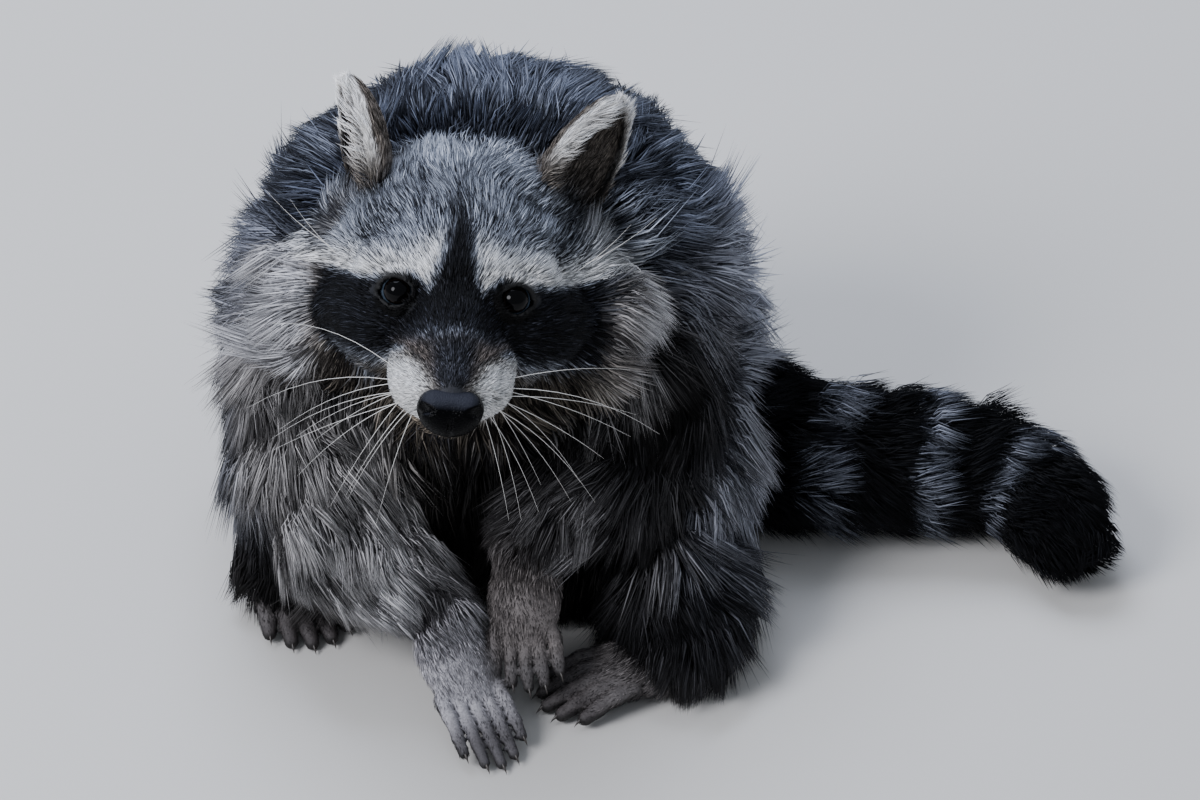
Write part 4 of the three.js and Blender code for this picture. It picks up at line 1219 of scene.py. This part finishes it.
def nose_shape(q):
    """The distance to the nose's leather, less its nostrils and groove."""
    half_q = one_sided(q)
    pad = melt(
        5,
        ball(q, NOSE_AT, [11.5, 8, 9.6]),
        ball(half_q, NOSE_AT + [7.4, -0.5, 0.5], [5.6, 7.2, 7.2]),
        ball(q, NOSE_AT + [0, -1.6, -4.5], [7.5, 6.4, 5.4]),
    )
    nostril = melt(
        2,
        taper(half_q, (8.6, -64.5, -24.6, 1.6), (11.6, -61.6, -25.4, 1.6)),
        taper(half_q, (11.6, -61.6, -25.4, 1.6), (13.2, -58.5, -29, 1.1)),
        taper(half_q, (13.2, -58.5, -29, 1.1), (12.4, -57.5, -32.6, 0.7)),
    )
    groove = taper(q, (0, -65.4, -27, 0.5), (0, -63.2, -36.5, 0.8))
    flat_top = (q - np.float32(NOSE_AT)) @ np.float32([0, -0.26, 0.96]) - 7.4
    return -melt(1.5, melt(5, -pad, -flat_top), nostril, groove)


NOSE_STEP = 0.55
PEBBLES_PER_METRE = 900  # 1.1 mm across, coarser than the real ones so that they show
PORES_PER_METRE = 1500  # 0.7 mm apart
nose_box = ((-16, 16), (-68, -44), (-40, -14))
nose_grid = [lines(low, high, [], NOSE_STEP, NOSE_STEP) for low, high in nose_box]
nose_places, nose_faces = net(nose_shape, nose_grid)
nose = mesh_piece("nose_leather", from_head(nose_places), nose_faces)
# Bare skin kept wet: grey, dull and pebbled on top, and black with a wet gloss below and within.
leather, tree, surface = new_material("wet nose leather")
place = add_node(tree, "ShaderNodeTexCoord").outputs["Object"]
pores = add_node(tree, "ShaderNodeTexNoise", {"Vector": place, "Scale": PORES_PER_METRE}).outputs["Fac"]
facing = add_node(tree, "ShaderNodeNewGeometry").outputs["Normal"]
upward = add_node(tree, "ShaderNodeSeparateXYZ", {0: facing}).outputs["Z"]
top = add_node(
    tree, "ShaderNodeMapRange", {"Value": upward, "From Min": 0.7, "From Max": 0.98}
).outputs[0]
tint = add_node(tree, "ShaderNodeValToRGB", {"Fac": top})
tint.color_ramp.elements[0].color = linear(0x020203)
tint.color_ramp.elements[1].color = linear(0x2A2C34)
rough = add_node(tree, "ShaderNodeMapRange", {"Value": top, "To Min": 0.1, "To Max": 0.46}).outputs[0]
bump = cells_and_grain(tree, PEBBLES_PER_METRE, 1.4, pores, 0.5, 0.0004)
shader = add_node(
    tree,
    "ShaderNodeBsdfPrincipled",
    {"Base Color": tint.outputs[0], "Roughness": rough, "Normal": bump, "Specular IOR Level": 0.06},
)
tree.links.new(shader.outputs[0], surface)
nose.data.materials.append(leather)
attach(nose, "root")
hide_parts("nose")

# ---- Claws -----------------------------------------------
# A short curved claw of dark horn on each of the twenty digits. One is made ring by ring, and a tree
# of Geometry Nodes sets it on every tip along the digit's last bone.

CLAW_RINGS, CLAW_AROUND = 7, 8
FORE_CLAW, HIND_CLAW = 4.6, 5


def claw_mesh():
    """One claw a unit long along +Z, that curves towards -Y."""
    t = np.linspace(0, 1, CLAW_RINGS, endpoint=False)
    spine = np.stack([0 * t, -0.45 * t**2, t], 1)
    thick = 0.24 * (1 - t) ** 0.75
    turn = np.arange(CLAW_AROUND) / CLAW_AROUND * 2 * math.pi
    ring = np.stack([0.75 * np.cos(turn), np.sin(turn), 0 * turn], 1)
    rings = spine[:, None] + ring[None] * thick[:, None, None]
    places = np.vstack([rings.reshape(-1, 3), [[0, -0.5, 1]]])
    number = np.arange(CLAW_RINGS * CLAW_AROUND).reshape(CLAW_RINGS, CLAW_AROUND)
    nxt = np.roll(number, -1, 1)
    quads = np.stack([number[:-1], nxt[:-1], nxt[1:], number[1:]], -1).reshape(-1, 4)
    faces = [tuple(quad) for quad in quads.tolist()]
    faces += [(int(number[-1, i]), int(nxt[-1, i]), len(places) - 1) for i in range(CLAW_AROUND)]
    faces.append(tuple(number[0, ::-1].tolist()))
    mesh = bpy.data.meshes.new("one claw")
    mesh.from_pydata(places.tolist(), [], faces)
    mesh.polygons.foreach_set("use_smooth", np.ones(len(faces), bool))
    return bpy.data.objects.new("one claw", mesh)


# Keratin worn smooth: a dull polish over brown black, clouded with paler horn.
CLOUDS_PER_METRE = 700  # 1.4 mm across
horn, tree, surface = new_material("claw horn")
place = add_node(tree, "ShaderNodeTexCoord").outputs["Object"]
clouds = add_node(tree, "ShaderNodeTexNoise", {"Vector": place, "Scale": CLOUDS_PER_METRE}).outputs["Fac"]
tint = add_node(tree, "ShaderNodeValToRGB", {"Fac": clouds})
tint.color_ramp.elements[0].color = linear(0x171413)
tint.color_ramp.elements[1].color = linear(0x453F3A)
shader = add_node(tree, "ShaderNodeBsdfPrincipled", {"Base Color": tint.outputs[0], "Roughness": 0.35})
tree.links.new(shader.outputs[0], surface)

tips, turns, sizes = [], [], []
for name, paw in PAWS.items():
    claw_length = FORE_CLAW if name.startswith("fore") else HIND_CLAW
    for joints in digits_of(paw):
        *tip, radius = joints[-1]
        way = towards(joints[-2][:3], tip)
        way[2] = max(way[2], -0.1)
        turns.append(Vector(unit(way)).to_track_quat("Z", "Y").to_euler())
        tips.append(tip + unit(way) * radius * 0.35 + [0, 0, radius * 0.25])
        sizes.append(claw_length / 1000)
points = bpy.data.meshes.new("claws")
points.from_pydata(to_world(tips).tolist(), [], [])
points.attributes.new("turn", "FLOAT_VECTOR", "POINT").data.foreach_set("vector", np.ravel(turns))
points.attributes.new("size", "FLOAT", "POINT").data.foreach_set("value", sizes)
claw_points = show("claw points", points)


def node_group(name, inputs):
    """An empty tree for a Geometry Nodes modifier with a geometry input and output."""
    tree = bpy.data.node_groups.new(name, "GeometryNodeTree")
    tree.interface.new_socket("Geometry", in_out="INPUT", socket_type="NodeSocketGeometry")
    for label, kind in inputs.items():
        tree.interface.new_socket(label, in_out="INPUT", socket_type=kind)
    tree.interface.new_socket("Geometry", in_out="OUTPUT", socket_type="NodeSocketGeometry")
    return tree, tree.nodes.new("NodeGroupInput").outputs, tree.nodes.new("NodeGroupOutput").inputs


def end_tree(tree, made, material, result):
    """The end of a tree: its instances made real, all of one material."""
    real = add_node(tree, "GeometryNodeRealizeInstances", {0: made}).outputs[0]
    done = add_node(tree, "GeometryNodeSetMaterial", {"Geometry": real, "Material": material}).outputs[0]
    tree.links.new(done, result["Geometry"])


def made_by(tree, source, values, name):
    """The plain mesh that a tree makes of an object, its inputs set by their identifiers."""
    modifier = source.modifiers.new(tree.name, "NODES")
    modifier.node_group = tree
    for item in tree.interface.items_tree:
        if item.item_type == "SOCKET" and item.name in values:
            modifier[item.identifier] = values[item.name]
    graph = bpy.context.evaluated_depsgraph_get()
    mesh = bpy.data.meshes.new_from_object(source.evaluated_get(graph))
    mesh.name = name
    source.modifiers.remove(modifier)
    bpy.data.objects.remove(source)
    return show(name, mesh)


tree, given, result = node_group(
    "claws on digits", {"Claw": "NodeSocketObject", "Horn": "NodeSocketMaterial"}
)
one_claw = add_node(tree, "GeometryNodeObjectInfo", {"Object": given["Claw"]}).outputs["Geometry"]
its_turn = add_node(tree, "GeometryNodeInputNamedAttribute", {"Name": "turn"}, data_type="FLOAT_VECTOR")
its_size = add_node(tree, "GeometryNodeInputNamedAttribute", {"Name": "size"}, data_type="FLOAT")
rotation = add_node(tree, "FunctionNodeEulerToRotation", {0: its_turn.outputs["Attribute"]}).outputs[0]
placed = add_node(
    tree,
    "GeometryNodeInstanceOnPoints",
    {
        "Points": given["Geometry"],
        "Instance": one_claw,
        "Rotation": rotation,
        "Scale": its_size.outputs["Attribute"],
    },
).outputs[0]
end_tree(tree, placed, given["Horn"], result)
one = claw_mesh()
claws = made_by(tree, claw_points, {"Claw": one, "Horn": horn}, "claws")
bpy.data.objects.remove(one)
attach(claws, "root")

# ---- Whiskers --------------------------------------------
# Long white bristles that stand out from the sides of the muzzle in rows and bend down with their
# weight, and two above each eye. A tree of Geometry Nodes makes a tapered tube along each line.

WHISKER_ROOT, WHISKER_TIP = 0.15, 0.03  # radius in millimetres
WHISKERS = 12  # on each side
BEND_STEPS = 9


def whisker_line(root, way, long, droop):
    """A whisker's middle line on the left side of the head, in the head's frame."""
    t = np.linspace(0, 1, BEND_STEPS)[:, None]
    return np.array(root) + unit(way) * long * t + np.array([0, 0.12, -1]) * droop * long * t**2.2


runs = []
for side in (-1, 1):
    # Three rows to a pad, from the highest, which is longest, to the lowest, which points down.
    for i in range(WHISKERS):
        down = i / (WHISKERS - 1)  # 0 for the highest
        row = i % 3
        root = [19.5 - 2.2 * row, -30 - 5.5 * row, -24 - 13 * down]
        angle = math.radians(12 - 84 * down + rng.normal(0, 5))
        way = [math.cos(angle), 0.12 + 0.3 * rng.random() - 0.3 * down, math.sin(angle)]
        long = 66 * (1 - 0.42 * down) * rng.uniform(0.8, 1.15)
        runs.append(whisker_line(root, way, long, 0.14 + 0.34 * rng.random()) * [side, 1, 1])
    # Two over each eye.
    for i in range(2):
        root = [50 + 3 * i, 22 + 3 * i, 6 + 2 * i]
        runs.append(whisker_line(root, [0.8, 0.2, 0.6 - 0.2 * i], 26 + 6 * i, -0.2) * [side, 1, 1])
line = bpy.data.curves.new("whisker lines", "CURVE")
line.dimensions = "3D"
for run in runs:
    part = line.splines.new("POLY")
    part.points.add(BEND_STEPS - 1)
    places = np.insert(to_world(from_head(run)), 3, 1, 1)
    part.points.foreach_set("co", places.ravel())
    part.points.foreach_set("radius", np.linspace(WHISKER_ROOT, WHISKER_TIP, BEND_STEPS) / 1000)
whisker_lines = show("whisker lines", line)
# Thick smooth keratin without pigment: bright thin lines with a soft shine.
bristle, tree, surface = new_material("white whisker")
shader = add_node(tree, "ShaderNodeBsdfPrincipled", {"Base Color": linear(0xF2F0EA), "Roughness": 0.4})
tree.links.new(shader.outputs[0], surface)
tree, given, result = node_group(
    "whiskers along lines", {"Sides": "NodeSocketInt", "Hair": "NodeSocketMaterial"}
)
circle = add_node(tree, "GeometryNodeCurvePrimitiveCircle", {"Resolution": given["Sides"], "Radius": 1.0})
width = add_node(tree, "GeometryNodeInputRadius").outputs[0]
tube = add_node(
    tree,
    "GeometryNodeCurveToMesh",
    {
        "Curve": given["Geometry"],
        "Profile Curve": circle.outputs["Curve"],
        "Scale": width,
        "Fill Caps": True,
    },
)
end_tree(tree, tube.outputs[0], given["Hair"], result)
whiskers = made_by(tree, whisker_lines, {"Sides": 5, "Hair": bristle}, "whiskers")
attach(whiskers, "root")
